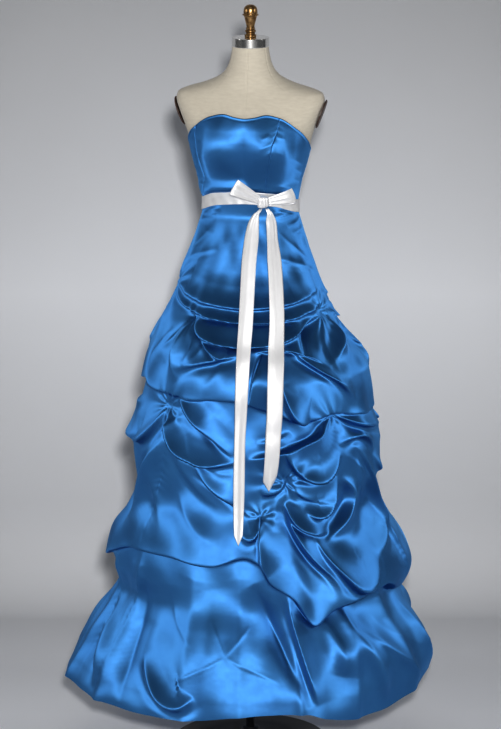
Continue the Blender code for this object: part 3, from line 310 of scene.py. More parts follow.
def skirt_reach(angle, height):
    """The skirt's form before its folds."""
    a = np.radians(turned(angle))
    side = np.where(np.sin(a) < 0, smooth(height, SKIRT_ROWS, 1), smooth(height, SKIRT_ROWS, 2))
    fore = np.where(np.cos(a) > 0, smooth(height, SKIRT_ROWS, 3), smooth(height, SKIRT_ROWS, 4))
    free = side * np.sin(a) ** 2 + fore * np.cos(a) ** 2
    worn = worn_under(angle, height)
    gap = free - worn
    return worn + np.where(gap > 0.05, gap, (gap + np.sqrt(gap ** 2 + 0.00002)) / 2)


def fold_line(row, count=25):
    """Points along one fold: angle, height."""
    start, middle, end = np.array(row[0:2]), np.array(row[2:4]), np.array(row[4:6])
    bend = 2 * middle - (start + end) / 2
    t = np.linspace(0, 1, count)[:, None]
    return (1 - t) ** 2 * start + 2 * t * (1 - t) * bend + t * t * end


def near_line(angle, height, reach, line):
    """Distance to a fold's line, its share along it, if it is on the left, and its right hand."""
    best = np.full(angle.shape, 9.0)
    share = np.zeros(angle.shape)
    left = np.zeros(angle.shape, bool)
    hand_x, hand_z = np.zeros(angle.shape), np.zeros(angle.shape)
    scale = np.radians(reach)
    for i in range(len(line) - 1):
        ax = turned(angle - line[i, 0]) * scale
        az = height - line[i, 1]
        bx = (line[i + 1, 0] - line[i, 0]) * scale
        bz = line[i + 1, 1] - line[i, 1]
        length = np.sqrt(bx * bx + bz * bz)
        t = np.clip((ax * bx + az * bz) / length ** 2, 0, 1)
        d = np.hypot(ax - t * bx, az - t * bz)
        closer = d < best
        best = np.where(closer, d, best)
        share = np.where(closer, (i + t) / (len(line) - 1), share)
        left = np.where(closer, bx * az - bz * ax > 0, left)
        hand_x = np.where(closer, bz / length, hand_x)
        hand_z = np.where(closer, -bx / length, hand_z)
    return best, share, left, hand_x, hand_z


def ridge(d, width):
    """A fold's cross-section: a rounded crest between two fairly straight slopes."""
    crest = 0.55 * width
    tight = np.exp(-(np.sqrt(d * d + crest * crest) - crest) / (0.50 * width))
    crest = 1.2 * width
    broad = np.exp(-(np.sqrt(d * d + crest * crest) - crest) / (1.5 * width))
    return 0.6 * tight + 0.4 * broad


def add_folds(angle, height, rows, moves, gain=(1.0, 1.0, 1.0)):
    """Adds each fold's push outwards and its lap to moves: out, round and up, in metres."""
    reach = skirt_reach(angle, height)
    for row in rows:
        rise, left_soft, right_soft, lap = (value / 1000 for value in row[6:10])
        rise *= gain[0]
        left_soft *= gain[1]
        right_soft *= gain[1]
        lap *= gain[2]
        line = fold_line(row)
        margin = 3.5 * max(left_soft, right_soft)
        middle = (line[:, 0].min() + line[:, 0].max()) / 2
        span = (line[:, 0].max() - line[:, 0].min()) / 2 + math.degrees(margin / 0.12)
        near = np.abs(turned(angle - middle)) < span
        near &= (height > line[:, 1].min() - margin) & (height < line[:, 1].max() + margin)
        if not near.any():
            continue
        d, share, left, hand_x, hand_z = near_line(angle[near], height[near], reach[near], line)
        taper = np.sin(np.pi * share) ** 0.6
        narrow = 0.5 + 0.5 * taper
        width = np.where(left, left_soft, right_soft) * narrow
        # A wide fold fades out along its line more slowly than a crease does.
        taper = taper * np.sin(np.pi * share) ** (max(left_soft, right_soft) / WIDE_FOLD)
        fade = eased((margin - d) / (0.5 * margin))
        moves[0][near] += rise * ridge(d, width) * taper * fade
        if lap:
            hang = lap * bell(d, width * 1.05) * taper
            moves[1][near] += hang * hand_x
            moves[2][near] += hang * hand_z
            under = np.where(left, 0.0, bell(d - 1.9 * right_soft, 1.1 * right_soft))
            moves[0][near] -= 0.22 * abs(rise) * under * taper


def add_rims(angle, height, moves):
    """The two tiers' lower rims, which swell out and hang over the cloth beneath."""
    for column, (rise, above, below, drop, lift) in ((1, UPPER_RIM), (2, LOWER_RIM)):
        rim = smooth(turned(angle), RIM_ROWS, column) + lift / 1000
        d = (height - rim) * 1000
        swell = 0.78 + 0.22 * np.sin(np.radians(turned(angle)) * 5 + column * 2)
        soft = np.where(d > 0, above, below)
        moves[0] += rise / 1000 * bell(d, soft) * swell
        hang = bell(d, np.where(d > 0, above / 2, below * 1.15)) * swell
        moves[2] -= drop / 1000 * hang


def add_tacks(angle, height, moves):
    """Gathers that spread from each place where the cloth is tacked up."""
    reach = skirt_reach(angle, height)
    for k, (place, level, spread, count, depth) in enumerate(TACK_ROWS):
        near = (np.abs(turned(angle - place)) < 26) & (np.abs(height - level) < 0.10)
        x = np.radians(turned(angle[near] - place)) * reach[near]
        z = height[near] - level
        r = np.hypot(x, z) / (spread / 1000)
        turn = np.arctan2(z, x)
        uneven = 0.9 * np.sin(turn + k) + 0.5 * np.sin(2 * turn + 2.3 * k)
        rays = np.cos(count * turn + uneven * 2 + k) * (0.75 + 0.25 * np.sin(3 * turn + k))
        moves[0][near] += depth / 1000 * rays * 2.7 * r * np.exp(-1.6 * r)
        moves[0][near] -= depth / 1000 * 2.2 * bell(r, 0.35)


def add_seams(angle, height, moves):
    """Sewn seams: a narrow groove with small slanting puckers on both sides."""
    reach = skirt_reach(angle, height)
    for k, (start, top, stop, foot, depth) in enumerate(SEAM_ROWS):
        near = (height < top) & (height > foot) & (np.abs(turned(angle - (start + stop) / 2)) < 24)
        share = (top - height[near]) / (top - foot)
        x = np.radians(turned(angle[near] - start - (stop - start) * share)) * reach[near]
        run = height[near] * 1000
        fade = np.clip(share / 0.08, 0, 1) * np.clip((1 - share) / 0.08, 0, 1)
        wave = np.sin(run / 2.9 + np.abs(x) * 160 + 1.7 * np.sin(run / 13 + k))
        wave *= 0.6 + 0.4 * np.sin(run / 37 + 2 * k)
        moves[0][near] += depth / 1000 * 0.55 * wave * np.exp(-np.abs(x) / 0.011) * fade
        moves[0][near] -= depth / 1000 * bell(x, 0.0022) * fade


def add_undulation(angle, height, moves):
    """Slow, slight waves that keep broad satin from being quite even."""
    rng = np.random.default_rng(11)
    a = np.radians(angle)
    for _ in range(26):
        around = rng.integers(5, 22)
        tall = rng.uniform(14, 62)
        phase, size = rng.uniform(0, math.tau), rng.uniform(0.15, 0.5)
        moves[0] += size / 1000 * np.sin(around * a + tall * height * rng.choice((-1, 1)) + phase)


def no_moves(angle):
    """Moves out, round and up, all 0."""
    return [np.zeros(angle.shape) for _ in range(3)]


def skirt_points(angle, height):
    """Points of the finished cloth at nominal angles and heights."""
    moves = no_moves(angle)
    add_folds(angle, height, FOLD_ROWS, moves, FOLD_GAIN)
    # Towards the two sides that the front view sees edge on, the relief is calmer.
    edge_on = np.abs(np.abs(turned(angle - VIEW_AZIMUTH)) - 90.0)
    moves[0] *= EDGE_RELIEF + (1 - EDGE_RELIEF) * np.clip(edge_on / EDGE_OVER, 0, 1)
    flutes = no_moves(angle)
    add_folds(angle, height, FLUTE_ROWS, flutes)
    below = np.clip((smooth(turned(angle), RIM_ROWS, 2) - height) / FLUTE_TOP, 0, 1)
    moves[0] += flutes[0] * below
    add_folds(angle, height, CREASE_ROWS, moves)
    add_rims(angle, height, moves)
    add_tacks(angle, height, moves)
    add_undulation(angle, height, moves)
    calm = eased((waist_height(angle) - height - CALM_FROM) / CALM_OVER)
    hem = np.clip((height - smooth(turned(angle), RIM_ROWS, 3)) / HEM_CALM, 0, 1)
    moves[0] *= calm
    moves[1] *= calm * hem
    moves[2] *= calm * hem
    pulls = no_moves(angle)
    add_folds(angle, height, PULL_ROWS, pulls)
    moves[0] += pulls[0] * np.clip((waist_height(angle) - height - PULL_FROM) / PULL_OVER, 0, 1)
    add_seams(angle, height, moves)
    reach = skirt_reach(angle, height)
    out = np.maximum(reach + moves[0], worn_under(angle, height))
    return ring_point(angle + np.degrees(moves[1] / reach), out, height + moves[2])


def ring_point(angle, reach, height):
    a = np.radians(angle)
    return np.stack([reach * np.sin(a), -reach * np.cos(a), height + 0 * a], -1)


def outward(points, closed=False):
    """Outward directions of a grid of points, rows going down and columns going round."""
    if closed:
        across = np.roll(points, -1, 1) - np.roll(points, 1, 1)
    else:
        across = np.gradient(points, axis=1)
    along = np.gradient(points, axis=0)
    normal = np.cross(along, across)
    normal /= np.maximum(np.linalg.norm(normal, axis=2, keepdims=True), 1e-12)
    return normal


# Materials


class Maker:
    """A material's node tree and short ways to add to it."""

    def __init__(self, name):
        self.material = bpy.data.materials.new(name)
        self.material.use_nodes = True
        self.tree = self.material.node_tree
        self.shader = self.tree.nodes["Principled BSDF"]

    def node(self, kind, **values):
        made = self.tree.nodes.new(kind)
        for key, value in values.items():
            if hasattr(made, key):
                setattr(made, key, value)
            else:
                made.inputs[key.replace("_", " ")].default_value = value
        return made

    def join(self, source, output, target, socket):
        self.tree.links.new(source.outputs[output], target.inputs[socket])

    def set(self, **values):
        for key, value in values.items():
            self.shader.inputs[key.replace("_", " ")].default_value = value

    def maths(self, operation, *terms):
        made = self.node("ShaderNodeMath", operation=operation)
        for socket, term in enumerate(terms):
            if isinstance(term, tuple):
                self.join(term[0], term[1], made, socket)
            else:
                made.inputs[socket].default_value = term
        return made

    def times(self, first, second):
        """Two colours multiplied. A colour mix has its colours at sockets 6 and 7, its result at 2."""
        made = self.node("ShaderNodeMix", data_type="RGBA", blend_type="MULTIPLY")
        made.inputs["Factor"].default_value = 1.0
        self.tree.links.new(first, made.inputs[6])
        self.tree.links.new(second, made.inputs[7])
        return made.outputs[2]

    def noise(self, scale, detail=2.0, stretch=(1, 1, 1)):
        place = self.node("ShaderNodeTexCoord")
        scaled = self.node("ShaderNodeMapping")
        scaled.inputs["Scale"].default_value = stretch
        self.join(place, "Object", scaled, "Vector")
        made = self.node("ShaderNodeTexNoise", Scale=scale, Detail=detail)
        self.join(scaled, "Vector", made, "Vector")
        return made

    def ramp(self, source, output, stops):
        made = self.node("ShaderNodeValToRGB")
        points = made.color_ramp.elements
        points[0].position, points[0].color = stops[0][0], (*stops[0][1], 1)
        points[1].position, points[1].color = stops[-1][0], (*stops[-1][1], 1)
        for place, colour in stops[1:-1]:
            points.new(place).color = (*colour, 1)
        self.join(source, output, made, "Fac")
        return made

    def tone(self, noise, *stops):
        """The base colour, from a noise through a ramp."""
        self.join(self.ramp(noise, "Fac", stops), "Color", self.shader, "Base Color")

    def rough(self, noise, low, high):
        """A roughness that wanders between two values."""
        made = self.node("ShaderNodeMapRange")
        self.join(noise, "Fac", made, "Value")
        made.inputs["To Min"].default_value = low
        made.inputs["To Max"].default_value = high
        self.join(made, "Result", self.shader, "Roughness")

    def bump(self, height, output, strength, distance, after=None):
        made = self.node("ShaderNodeBump", Strength=strength, Distance=distance)
        self.join(height, output, made, "Height")
        if after:
            self.join(after, "Normal", made, "Normal")
        self.join(made, "Normal", self.shader, "Normal")
        return made


def satin(name, colour, deep, roughness, metallic, spread):
    """Satin: fine weft threads over a slightly uneven surface, with a soft tinted shine."""
    m = Maker(name)
    m.tone(m.noise(9.0, 3.0), (0.3, deep), (0.7, colour))
    m.set(Metallic=metallic, Specular_IOR_Level=0.9, Anisotropic=spread)
    threads = m.node("ShaderNodeTangent", direction_type="UV_MAP", uv_map="weave")
    m.join(threads, "Tangent", m.shader, "Tangent")
    m.rough(m.noise(60.0, 2.0), roughness - 0.03, roughness + 0.04)
    crumple = m.bump(m.noise(26.0, 2.0), "Fac", 0.10, 0.004)
    weft = m.noise(900.0, 1.0, (0.35, 0.35, 3.0))
    m.bump(weft, "Fac", 0.05, 0.0004, crumple)
    return m.material


def linen(name):
    """Unbleached cover cloth with a plain weave and a few slubs."""
    m = Maker(name)
    slubs = m.noise(55.0, 4.0, (1, 1, 4))
    m.tone(slubs, (0.30, (0.545, 0.505, 0.43)), (0.75, (0.60, 0.56, 0.48)))
    m.set(Roughness=0.88, Specular_IOR_Level=0.25, Sheen_Weight=0.12, Sheen_Roughness=0.5)
    place = m.node("ShaderNodeTexCoord")
    threads = []
    for direction in ("X", "Z"):
        wave = m.node("ShaderNodeTexWave", Scale=620.0, Distortion=0.6, Detail=1.0)
        wave.bands_direction = direction
        m.join(place, "Object", wave, "Vector")
        threads.append(wave)
    both = m.maths("ADD", (threads[0], "Fac"), (threads[1], "Fac"))
    weave = m.bump(both, "Value", 0.12, 0.0003)
    m.bump(m.noise(40.0, 3.0), "Fac", 0.08, 0.002, weave)
    return m.material


def metal(name, colour, roughness, smudge=0.06, scale=30.0, stretch=(1, 1, 1)):
    """Polished or aged metal with uneven shine."""
    m = Maker(name)
    m.set(Base_Color=(*colour, 1), Metallic=1.0)
    m.rough(m.noise(scale, 4.0, stretch), max(roughness - smudge, 0.02), roughness + smudge)
    m.bump(m.noise(scale * 12, 2.0, stretch), "Fac", 0.05, 0.0003)
    return m.material


def bronze(name):
    """Turned metal, its tone darker and lighter at random."""
    m = Maker(name)
    m.tone(m.noise(120.0, 4.0), (0.35, (0.20, 0.115, 0.050)), (0.65, (0.46, 0.30, 0.14)))
    m.set(Metallic=0.9, Roughness=0.34)
    m.bump(m.noise(500.0, 3.0), "Fac", 0.15, 0.0006)
    return m.material


def plain(name, colour, roughness, grain, specular=0.5):
    """Painted or moulded surface with slight grain."""
    m = Maker(name)
    dark = tuple(c * 0.8 for c in colour)
    m.tone(m.noise(grain, 3.0), (0.3, dark), (0.7, colour))
    m.set(Roughness=roughness, Specular_IOR_Level=specular)
    m.bump(m.noise(grain * 6, 2.0), "Fac", 0.08, 0.0005)
    return m.material


BLUE = satin("satin_blue", (0.086, 0.290, 0.588), (0.075, 0.259, 0.551), 0.59, 0.97, 0.85)
WHITE = satin("satin_white", (0.80, 0.80, 0.81), (0.76, 0.76, 0.77), 0.46, 0.35, 0.45)
LINEN = linen("linen_cover")
STEEL = metal("polished_steel", (0.86, 0.85, 0.83), 0.24, 0.08, 14.0, (6, 6, 0.4))
CHROME = metal("chrome_pole", (0.70, 0.70, 0.71), 0.12)
ZIP = metal("zip_nickel", (0.60, 0.60, 0.61), 0.24)
BRONZE = bronze("turned_bronze")
PLATE = plain("plate_brown", (0.075, 0.043, 0.032), 0.42, 60.0)
BLACK = plain("base_black", (0.018, 0.018, 0.020), 0.38, 90.0)


# Meshes


def add_mesh(name, points, faces, material, nodes, weave=None, flat_from=None, normals=None):
    """A smooth mesh that rides the dress and stands for its CAD nodes. weave is its thread map, the
    faces from flat_from on, a wall's narrow edges, stay flat, and normals, where given, carry the
    shading across the seams between pieces."""
    mesh = bpy.data.meshes.new(name)
    points = np.asarray(points, float).reshape(-1, 3)
    faces = np.asarray(faces, int)
    mesh.vertices.add(len(points))
    mesh.vertices.foreach_set("co", points.ravel())
    size = faces.shape[1]
    mesh.loops.add(faces.size)
    mesh.loops.foreach_set("vertex_index", faces.ravel())
    mesh.polygons.add(len(faces))
    mesh.polygons.foreach_set("loop_start", np.arange(len(faces)) * size)
    mesh.polygons.foreach_set("loop_total", np.full(len(faces), size))
    mesh.update(calc_edges=True)
    if weave is not None:
        layer = mesh.uv_layers.new(name="weave")
        layer.data.foreach_set("uv", np.asarray(weave, float)[faces.ravel()].ravel())
    mesh.validate()
    mesh.shade_smooth()
    if flat_from is not None:
        mesh.polygons.foreach_set("use_smooth", np.arange(len(mesh.polygons)) < flat_from)
    if normals is not None:
        mesh.normals_split_custom_set_from_vertices(normals.tolist())
    mesh.materials.append(material)
    made = bpy.data.objects.new(name, mesh)
    bpy.context.collection.objects.link(made)
    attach(made, "dress_on_form")
    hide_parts(*nodes)
    return made


def grid_faces(rows, columns, closed, start=0, flip=False):
    """Quads of a grid of points, rows by columns."""
    i = np.arange(rows - 1)[:, None]
    j = np.arange(columns if closed else columns - 1)[None, :]
    k = (j + 1) % columns
    a, b = i * columns + j, i * columns + k
    c, d = (i + 1) * columns + k, (i + 1) * columns + j
    quads = np.stack([a, d, c, b] if not flip else [a, b, c, d], -1)
    return quads.reshape(-1, 4) + start


def shell(name, outer, thick, material, nodes, closed=False, normals=None):
    """A thin closed wall of cloth inside a grid of outer points."""
    rows, columns = outer.shape[:2]
    shared = None if normals is None else np.concatenate([normals, -normals]).reshape(-1, 3)
    normals = outward(outer, closed) if normals is None else normals
    inner = outer - normals * thick
    points = np.concatenate([outer.reshape(-1, 3), inner.reshape(-1, 3)])
    base = rows * columns
    faces = [grid_faces(rows, columns, closed), grid_faces(rows, columns, closed, base, True)]
    flat_from = len(faces[0]) + len(faces[1])
    j = np.arange(columns if closed else columns - 1)
    k = (j + 1) % columns
    foot = (rows - 1) * columns
    faces.append(np.stack([j, k, base + k, base + j], -1))
    faces.append(np.stack([foot + k, foot + j, base + foot + j, base + foot + k], -1))
    if not closed:
        i = np.arange(rows - 1)
        a, d = i * columns, (i + 1) * columns
        faces.append(np.stack([d, a, base + a, base + d], -1))
        a, d = a + columns - 1, d + columns - 1
        faces.append(np.stack([a, d, base + d, base + a], -1))
    across = np.broadcast_to(np.linspace(0, 1, columns), (rows, columns))
    along = np.broadcast_to(np.linspace(1, 0, rows)[:, None], (rows, columns))
    weave = np.stack([across, along], -1).reshape(-1, 2)
    weave = np.concatenate([weave, weave])
    faces = np.concatenate(faces)
    return add_mesh(
        name, points, faces, material, nodes, weave=weave, flat_from=flat_from, normals=shared
    )


def turned_mesh(name, profile, count, material, nodes, foot):
    """A solid turned round the pole's line from rows of radius and height above its foot."""
    profile = np.array(profile)
    a = np.linspace(0, math.tau, count, endpoint=False)
    ring = np.stack([np.sin(a), -np.cos(a)], -1)
    points = np.concatenate([
        np.concatenate([ring * radius, np.full((count, 1), foot + height)], 1) for radius, height in profile
    ])
    faces = grid_faces(len(profile), count, True, flip=True)
    add_mesh(name, points, faces, material, nodes)


# The skirt

SKIRT_ROWS_FINE = 330
# From angle, to angle, steps: finer where the camera is.
SKIRT_SPANS = (
    (-96.0, -38.0, 92), (-38.0, 30.0, 120), (30.0, 96.0, 108), (96.0, 180.0, 84), (180.0, 264.0, 84),
)
# The gores' CAD names, one for each span above.
GORES = ("skirt_side_r", "skirt_front", "skirt_side_l", "skirt_back_l", "skirt_back_r")


def make_skirt():
    """Five gores of one fine cloth. Returns its points for what lies on it."""
    angles = []
    for start, stop, steps in SKIRT_SPANS:
        angles += list(np.linspace(start, stop, steps + 1)[:-1])
    angles = np.array(angles)
    top = waist_height(angles) - SEAM_GAP / 2
    hem = smooth(turned(angles), RIM_ROWS, 3)
    share = np.linspace(0, 1, SKIRT_ROWS_FINE)[:, None]
    heights = top + (hem - top) * share
    grid_angles = np.broadcast_to(angles, heights.shape).copy()
    points = skirt_points(grid_angles, heights)
    normals = outward(points, True)
    first = 0
    for (start, stop, steps), name in zip(SKIRT_SPANS, GORES):
        columns = np.arange(first, first + steps + 1) % len(angles)
        first += steps
        made = shell(
            name + "_cloth", points[:, columns], CLOTH, BLUE, [name], normals=normals[:, columns]
        )
    return points


skirt = make_skirt()


# The bodice

# The princess seams: height, angle on the wearer's right, angle on the left.
PRINCESS = (
    (1.605, -49.0, 44.0), (1.57, -56.0, 39.0), (1.53, -57.5, 31.0), (1.48, -57.0, 28.5),
    (1.44, -56.0, 29.5), (1.395, -60.0, 29.5),
)


def bodice_bounds(name, height):
    """A panel's two side edges at each height, in degrees."""
    right, left = smooth(height, PRINCESS, 1), smooth(height, PRINCESS, 2)
    side = np.full(height.shape, SIDE_SEAM)
    back = np.full(height.shape, 180.0)
    return {
        "bodice_front": (right, left),
        "bodice_side_l": (left, side),
        "bodice_back_l": (side, back),
        "bodice_back_r": (back, 360 - side),
        "bodice_side_r": (360 - side, 360 + right),
    }[name]


# Drag lines and puckers of the bodice: angle, height at start and end, out, soft, soft, in mm.
BODICE_CREASES = (
    (-84, 1.44, -62, 1.452, 1.6, 7, 4), (-80, 1.462, -58, 1.48, 1.3, 7, 4),
    (-74, 1.424, -46, 1.436, 1.3, 6, 4), (88, 1.43, 62, 1.446, 1.6, 4, 7),
    (84, 1.452, 58, 1.474, 1.4, 4, 7), (76, 1.478, 52, 1.5, 1.2, 4, 7),
    (64, 1.426, 34, 1.434, 1.2, 4, 6), (-40, 1.424, -12, 1.43, 0.8, 6, 5),
    (10, 1.424, 28, 1.43, 0.8, 6, 5), (31, 1.56, 20, 1.548, 1.1, 5, 4),
    (31, 1.54, 18, 1.524, 1.1, 5, 4), (30, 1.52, 20, 1.502, 0.9, 5, 4),
    (-56, 1.545, -46, 1.536, 1.0, 5, 4), (-56, 1.51, -44, 1.498, 0.9, 5, 4),
    (36, 1.556, 46, 1.548, 0.9, 5, 4), (34, 1.52, 44, 1.508, 0.8, 5, 4),
)


# How the bodice blouses over the ribbon: angle, swell in millimetres and the height of its middle.
BLOUSE = (
    (-96, 1.5, 1.408), (-72, 6.5, 1.414), (-50, 12.0, 1.418), (-25, 13.5, 1.424), (-6, 11.5, 1.424),
    (10, 5.5, 1.416), (24, 2.5, 1.41), (40, 3.5, 1.408), (62, 5.5, 1.41), (88, 2.0, 1.404),
    (130, 1.0, 1.395), (180, 1.0, 1.39),
)
BLOUSE_SOFT = 0.0165
BLOUSE_HELD = 0.009
# How far the boned top edge stands off the form, and the heights between which it leaves it.
TOP_STANDS, TOP_LOW, TOP_HIGH = 0.0042, 1.528, 1.590


def blouse(angle, height):
    """The swell of the cloth above the ribbon, caught in again at the ribbon's upper edge."""
    at = turned(angle)
    off = (height - smooth(at, BLOUSE, 2)) / BLOUSE_SOFT
    edge = waist_height(angle) + RIBBON_WIDTH / 2 - 0.003
    return smooth(at, BLOUSE, 1) / 1000 * np.exp(-off * off / 2) * eased((height - edge) / BLOUSE_HELD)


def bodice_points(angle, height):
    reach = form_reach(angle, height) + BODICE_GAP + BODICE_WALL + blouse(angle, height)
    front = np.clip((88 - np.abs(turned(angle - 4))) / 30, 0, 1)
    reach += TOP_STANDS * eased((height - TOP_LOW) / (TOP_HIGH - TOP_LOW)) * front
    for start, low, stop, high, rise, left_soft, right_soft in BODICE_CREASES:
        line = np.array([[start, low], [(start + stop) / 2, (low + high) / 2], [stop, high]])
        d, share, left, _, _ = near_line(angle, height, reach, line)
        width = np.where(left, left_soft, right_soft) / 1000
        reach += rise / 1000 * ridge(d, width) * np.sin(np.pi * share) ** 0.8
    run = height * 1000
    for column, k in ((1, 0.0), (2, 2.0)):
        x = np.radians(turned(angle - smooth(height, PRINCESS, column))) * reach
        wave = np.sin(run / 2.6 + np.abs(x) * 240 + 1.5 * np.sin(run / 11 + k))
        reach += 0.00026 * wave * np.exp(-np.abs(x) / 0.008)
        reach -= 0.0010 * bell(x, 0.0016)
    for place in (SIDE_SEAM, -SIDE_SEAM, 180.0):
        x = np.radians(turned(angle - place)) * reach
        reach -= 0.0008 * bell(x, 0.0016)
    # The turned edge: a stitched line under the top, and a small roll at the edge itself.
    below = neckline(angle) - height
    reach -= 0.0005 * bell(below - 0.0065, 0.0010)
    reach += 0.0008 * bell(below, 0.0030)
    return ring_point(angle, reach, height)


# Each panel's cut, width and length in metres.
BODICE_CUTS = {
    "bodice_front": (0.165, 0.205),
    "bodice_side_l": (0.125, 0.165),
    "bodice_back_l": (0.150, 0.140),
    "bodice_back_r": (0.150, 0.140),
    "bodice_side_r": (0.090, 0.165),
}


def make_bodice():
    rows, columns = 96, 84
    for name, cut in BODICE_CUTS.items():
        share = np.linspace(0, 1, rows)[:, None]
        across = np.linspace(0, 1, columns)[None, :]
        heights = np.full((rows, columns), 1.5)
        for _ in range(4):
            start, stop = bodice_bounds(name, heights)
            grid_angles = start + (stop - start) * across
            top, foot = neckline(grid_angles), waist_height(grid_angles) + SEAM_GAP / 2
            heights = top + (foot - top) * share
        points = bodice_points(grid_angles, heights)
        made = shell(name + "_cloth", points, BODICE_CLOTH, BLUE, [name])


make_bodice()


# The sash and bow

TAIL_R = (
    (1.3811, 21.5, 0.008), (1.37, 16.0, 0.015), (1.35, 12.5, 0.026), (1.31, 9.8, 0.034),
    (1.262, 7.6, 0.0345), (1.19, 6.6, 0.034), (1.125, 6.0, 0.034), (1.07, 5.3, 0.033),
    (0.99, 4.9, 0.031), (0.92, 4.5, 0.028), (0.855, 4.1, 0.0255), (0.755, 3.9, 0.026),
    (0.635, 3.8, 0.02), (0.61, 3.8, 0.005),
)
TAIL_L = (
    (1.3811, 29.8, 0.008), (1.37, 33.0, 0.015), (1.35, 33.3, 0.029), (1.31, 31.5, 0.031),
    (1.262, 30.0, 0.038), (1.19, 27.6, 0.0385), (1.125, 25.6, 0.0385), (1.07, 23.4, 0.039),
    (0.99, 21.0, 0.0385), (0.92, 20.0, 0.037), (0.855, 19.0, 0.0355), (0.78, 18.2, 0.033),
    (0.76, 17.6, 0.028), (0.735, 17.0, 0.005),
)
TAIL_OVER_SASH = 0.0075
TAIL_CLEAR = 0.0015
TAIL_TURN = 0.24
# A tail's steps from top to foot, and how many of them its hang may bridge over a hollow.
TAIL_STEPS, TAIL_SPAN = 150, 60
# Above this height a tail also clears the sash. Then the steps over which its hang is softened,
# and the share along it where its slanting cut begins.
TAIL_ON_SASH = 1.345
HANG_SOFT, LIFT_SOFT = 41, 15
TAIL_CUT, TAIL_CUT_OVER = 0.93, 0.07
KNOT = (25.5, 1.3965)
KNOT_STANDS = 0.0140


def make_sash():
    step = np.linspace(-180, 180, 420, endpoint=False)
    across = np.linspace(-0.5, 0.5, 15)[:, None]
    heights = waist_height(step) - across * RIBBON_WIDTH
    grid_angles = np.broadcast_to(step, heights.shape)
    base = BODICE_GAP + BODICE_WALL + RIBBON_GAP
    reach = form_reach(grid_angles, heights) + base
    over_skirt = skirt_reach(grid_angles, heights) + RIBBON_GAP
    worn = np.where(heights < waist_height(grid_angles), over_skirt, 0)
    reach = np.maximum(reach, worn) + RIBBON_WALL
    a = np.radians(grid_angles)
    slack = 0.0006 * np.sin(9 * a + across * 5) + 0.0004 * np.sin(23 * a - across * 4 + 1)
    woven = 0.0004 * bell(np.abs(across) - 0.48, 0.03)
    reach = reach + 0.0004 + slack + woven
    points = ring_point(grid_angles, reach, heights)
    made = shell("sash_ribbon", points, RIBBON_WALL, WHITE, ["sash_band"], closed=True)


make_sash()


def knot_frame():
    """The knot's middle and its directions: out from the body, to the wearer's left, and up."""
    angle, height = KNOT
    levels = np.array([height - 0.016, height, height + 0.016])
    reach = form_reach(np.full(3, angle), levels).max()
    a = math.radians(angle)
    out = np.array([math.sin(a), -math.cos(a), 0.0])
    side = np.array([math.cos(a), math.sin(a), 0.0])
    middle = out * (reach + KNOT_STANDS) + np.array([0, 0, height])
    return middle, out, side, np.array([0, 0, 1.0])


KNOT_WIDE, KNOT_TALL, KNOT_FRONT, KNOT_REAR = 0.0150, 0.0150, 0.0092, 0.0055


def make_knot():
    """The knot: one turn of ribbon over the middle, with soft creases down it."""
    middle, out, side, up = knot_frame()
    rows, count = 44, 72
    v = np.sin(np.linspace(-math.pi / 2, math.pi / 2, rows))[:, None]
    a = np.linspace(0, math.tau, count, endpoint=False)[None, :] - math.pi / 2
    swell = (1 - np.abs(v) ** 4) ** 0.5
    c, s = np.cos(a), np.sin(a)
    waist = 1 - 0.12 * bell(v - 0.15, 0.45)
    x = np.sign(c) * np.abs(c) ** 0.8 * KNOT_WIDE * swell * waist
    front = np.abs(s) ** 0.7 * swell
    creases = 0.0008 * np.sin(x * 980 + v * 1.6 + 0.4) * (1 - 0.5 * v) * swell
    depth = np.where(s > 0, front * KNOT_FRONT + creases * np.clip(s, 0, 1), -front * KNOT_REAR)
    lean = -0.10 * x * (v < 0)
    tall = v * KNOT_TALL * (1 - 0.06 * c * (v > 0)) - lean * 1.4
    points = middle + side * x[..., None] + out * depth[..., None] + up * tall[..., None]
    weave = np.stack([np.broadcast_to(np.linspace(0, 1, count), (rows, count)), v * 0.5 + 0 * a], -1)
    faces = grid_faces(rows, count, True, flip=True)
    weave = weave.reshape(-1, 2)
    add_mesh("bow_knot_ribbon", points, faces, WHITE, ["bow_knot"], weave=weave)


make_knot()


# The bow's loops: hand, start and length of the loop, slope in degrees, width at the knot and at
# the turn, how open it is, how far its rear layer hangs lower, and how the end leans, in degrees.
LOOP_ROWS = (
    ("bow_loop_r", -1, 0.0100, 0.0850, 29.0, 0.0165, 0.0405, 0.0070, 0.0010, 2.0),
    ("bow_loop_l", 1, 0.0100, 0.0790, 10.0, 0.0150, 0.0370, 0.0115, 0.0125, 6.0),
)


def make_loops():
    middle, out, side, up = knot_frame()
    count, across_count = 72, 21
    for name, hand, start, length, rise, narrow, wide, depth, drop, lean in LOOP_ROWS:
        a = math.radians(rise)
        along = side * hand * math.cos(a) + up * math.sin(a)
        b = math.radians(rise + lean)
        across = -side * hand * math.sin(b) + up * math.cos(b)
        u = np.linspace(0.0, 1.0, count)
        turn = math.pi * u
        run = np.sin(turn) ** 0.75
        place = start + (length - start) * run
        open_ = depth * np.cos(turn) * (0.25 + 0.75 * np.sin(turn))
        width = narrow + (wide - narrow) * run ** 0.9
        w = np.linspace(-0.5, 0.5, across_count)[None, :]
        full = run[:, None]
        ruck = 0.0017 * np.cos(w * 15 + 0.8) * (1 - full) ** 0.6 * (0.2 + full)
        ruck += 0.0013 * np.sin(w * 7.5 + 1.6) * full
        flare = 0.0022 * full * (w * 2) ** 2
        lower = drop * np.clip(u * 2 - 0.85, 0, 1) * run
        points = (
            middle
            + along * (place[:, None] - flare)[..., None]
            + out * (open_[:, None] + 0.0022 * full + ruck)[..., None]
            + across * (width[:, None] * w - lower[:, None])[..., None]
        )
        made = shell(name + "_ribbon", points, RIBBON_WALL, WHITE, [name])


make_loops()


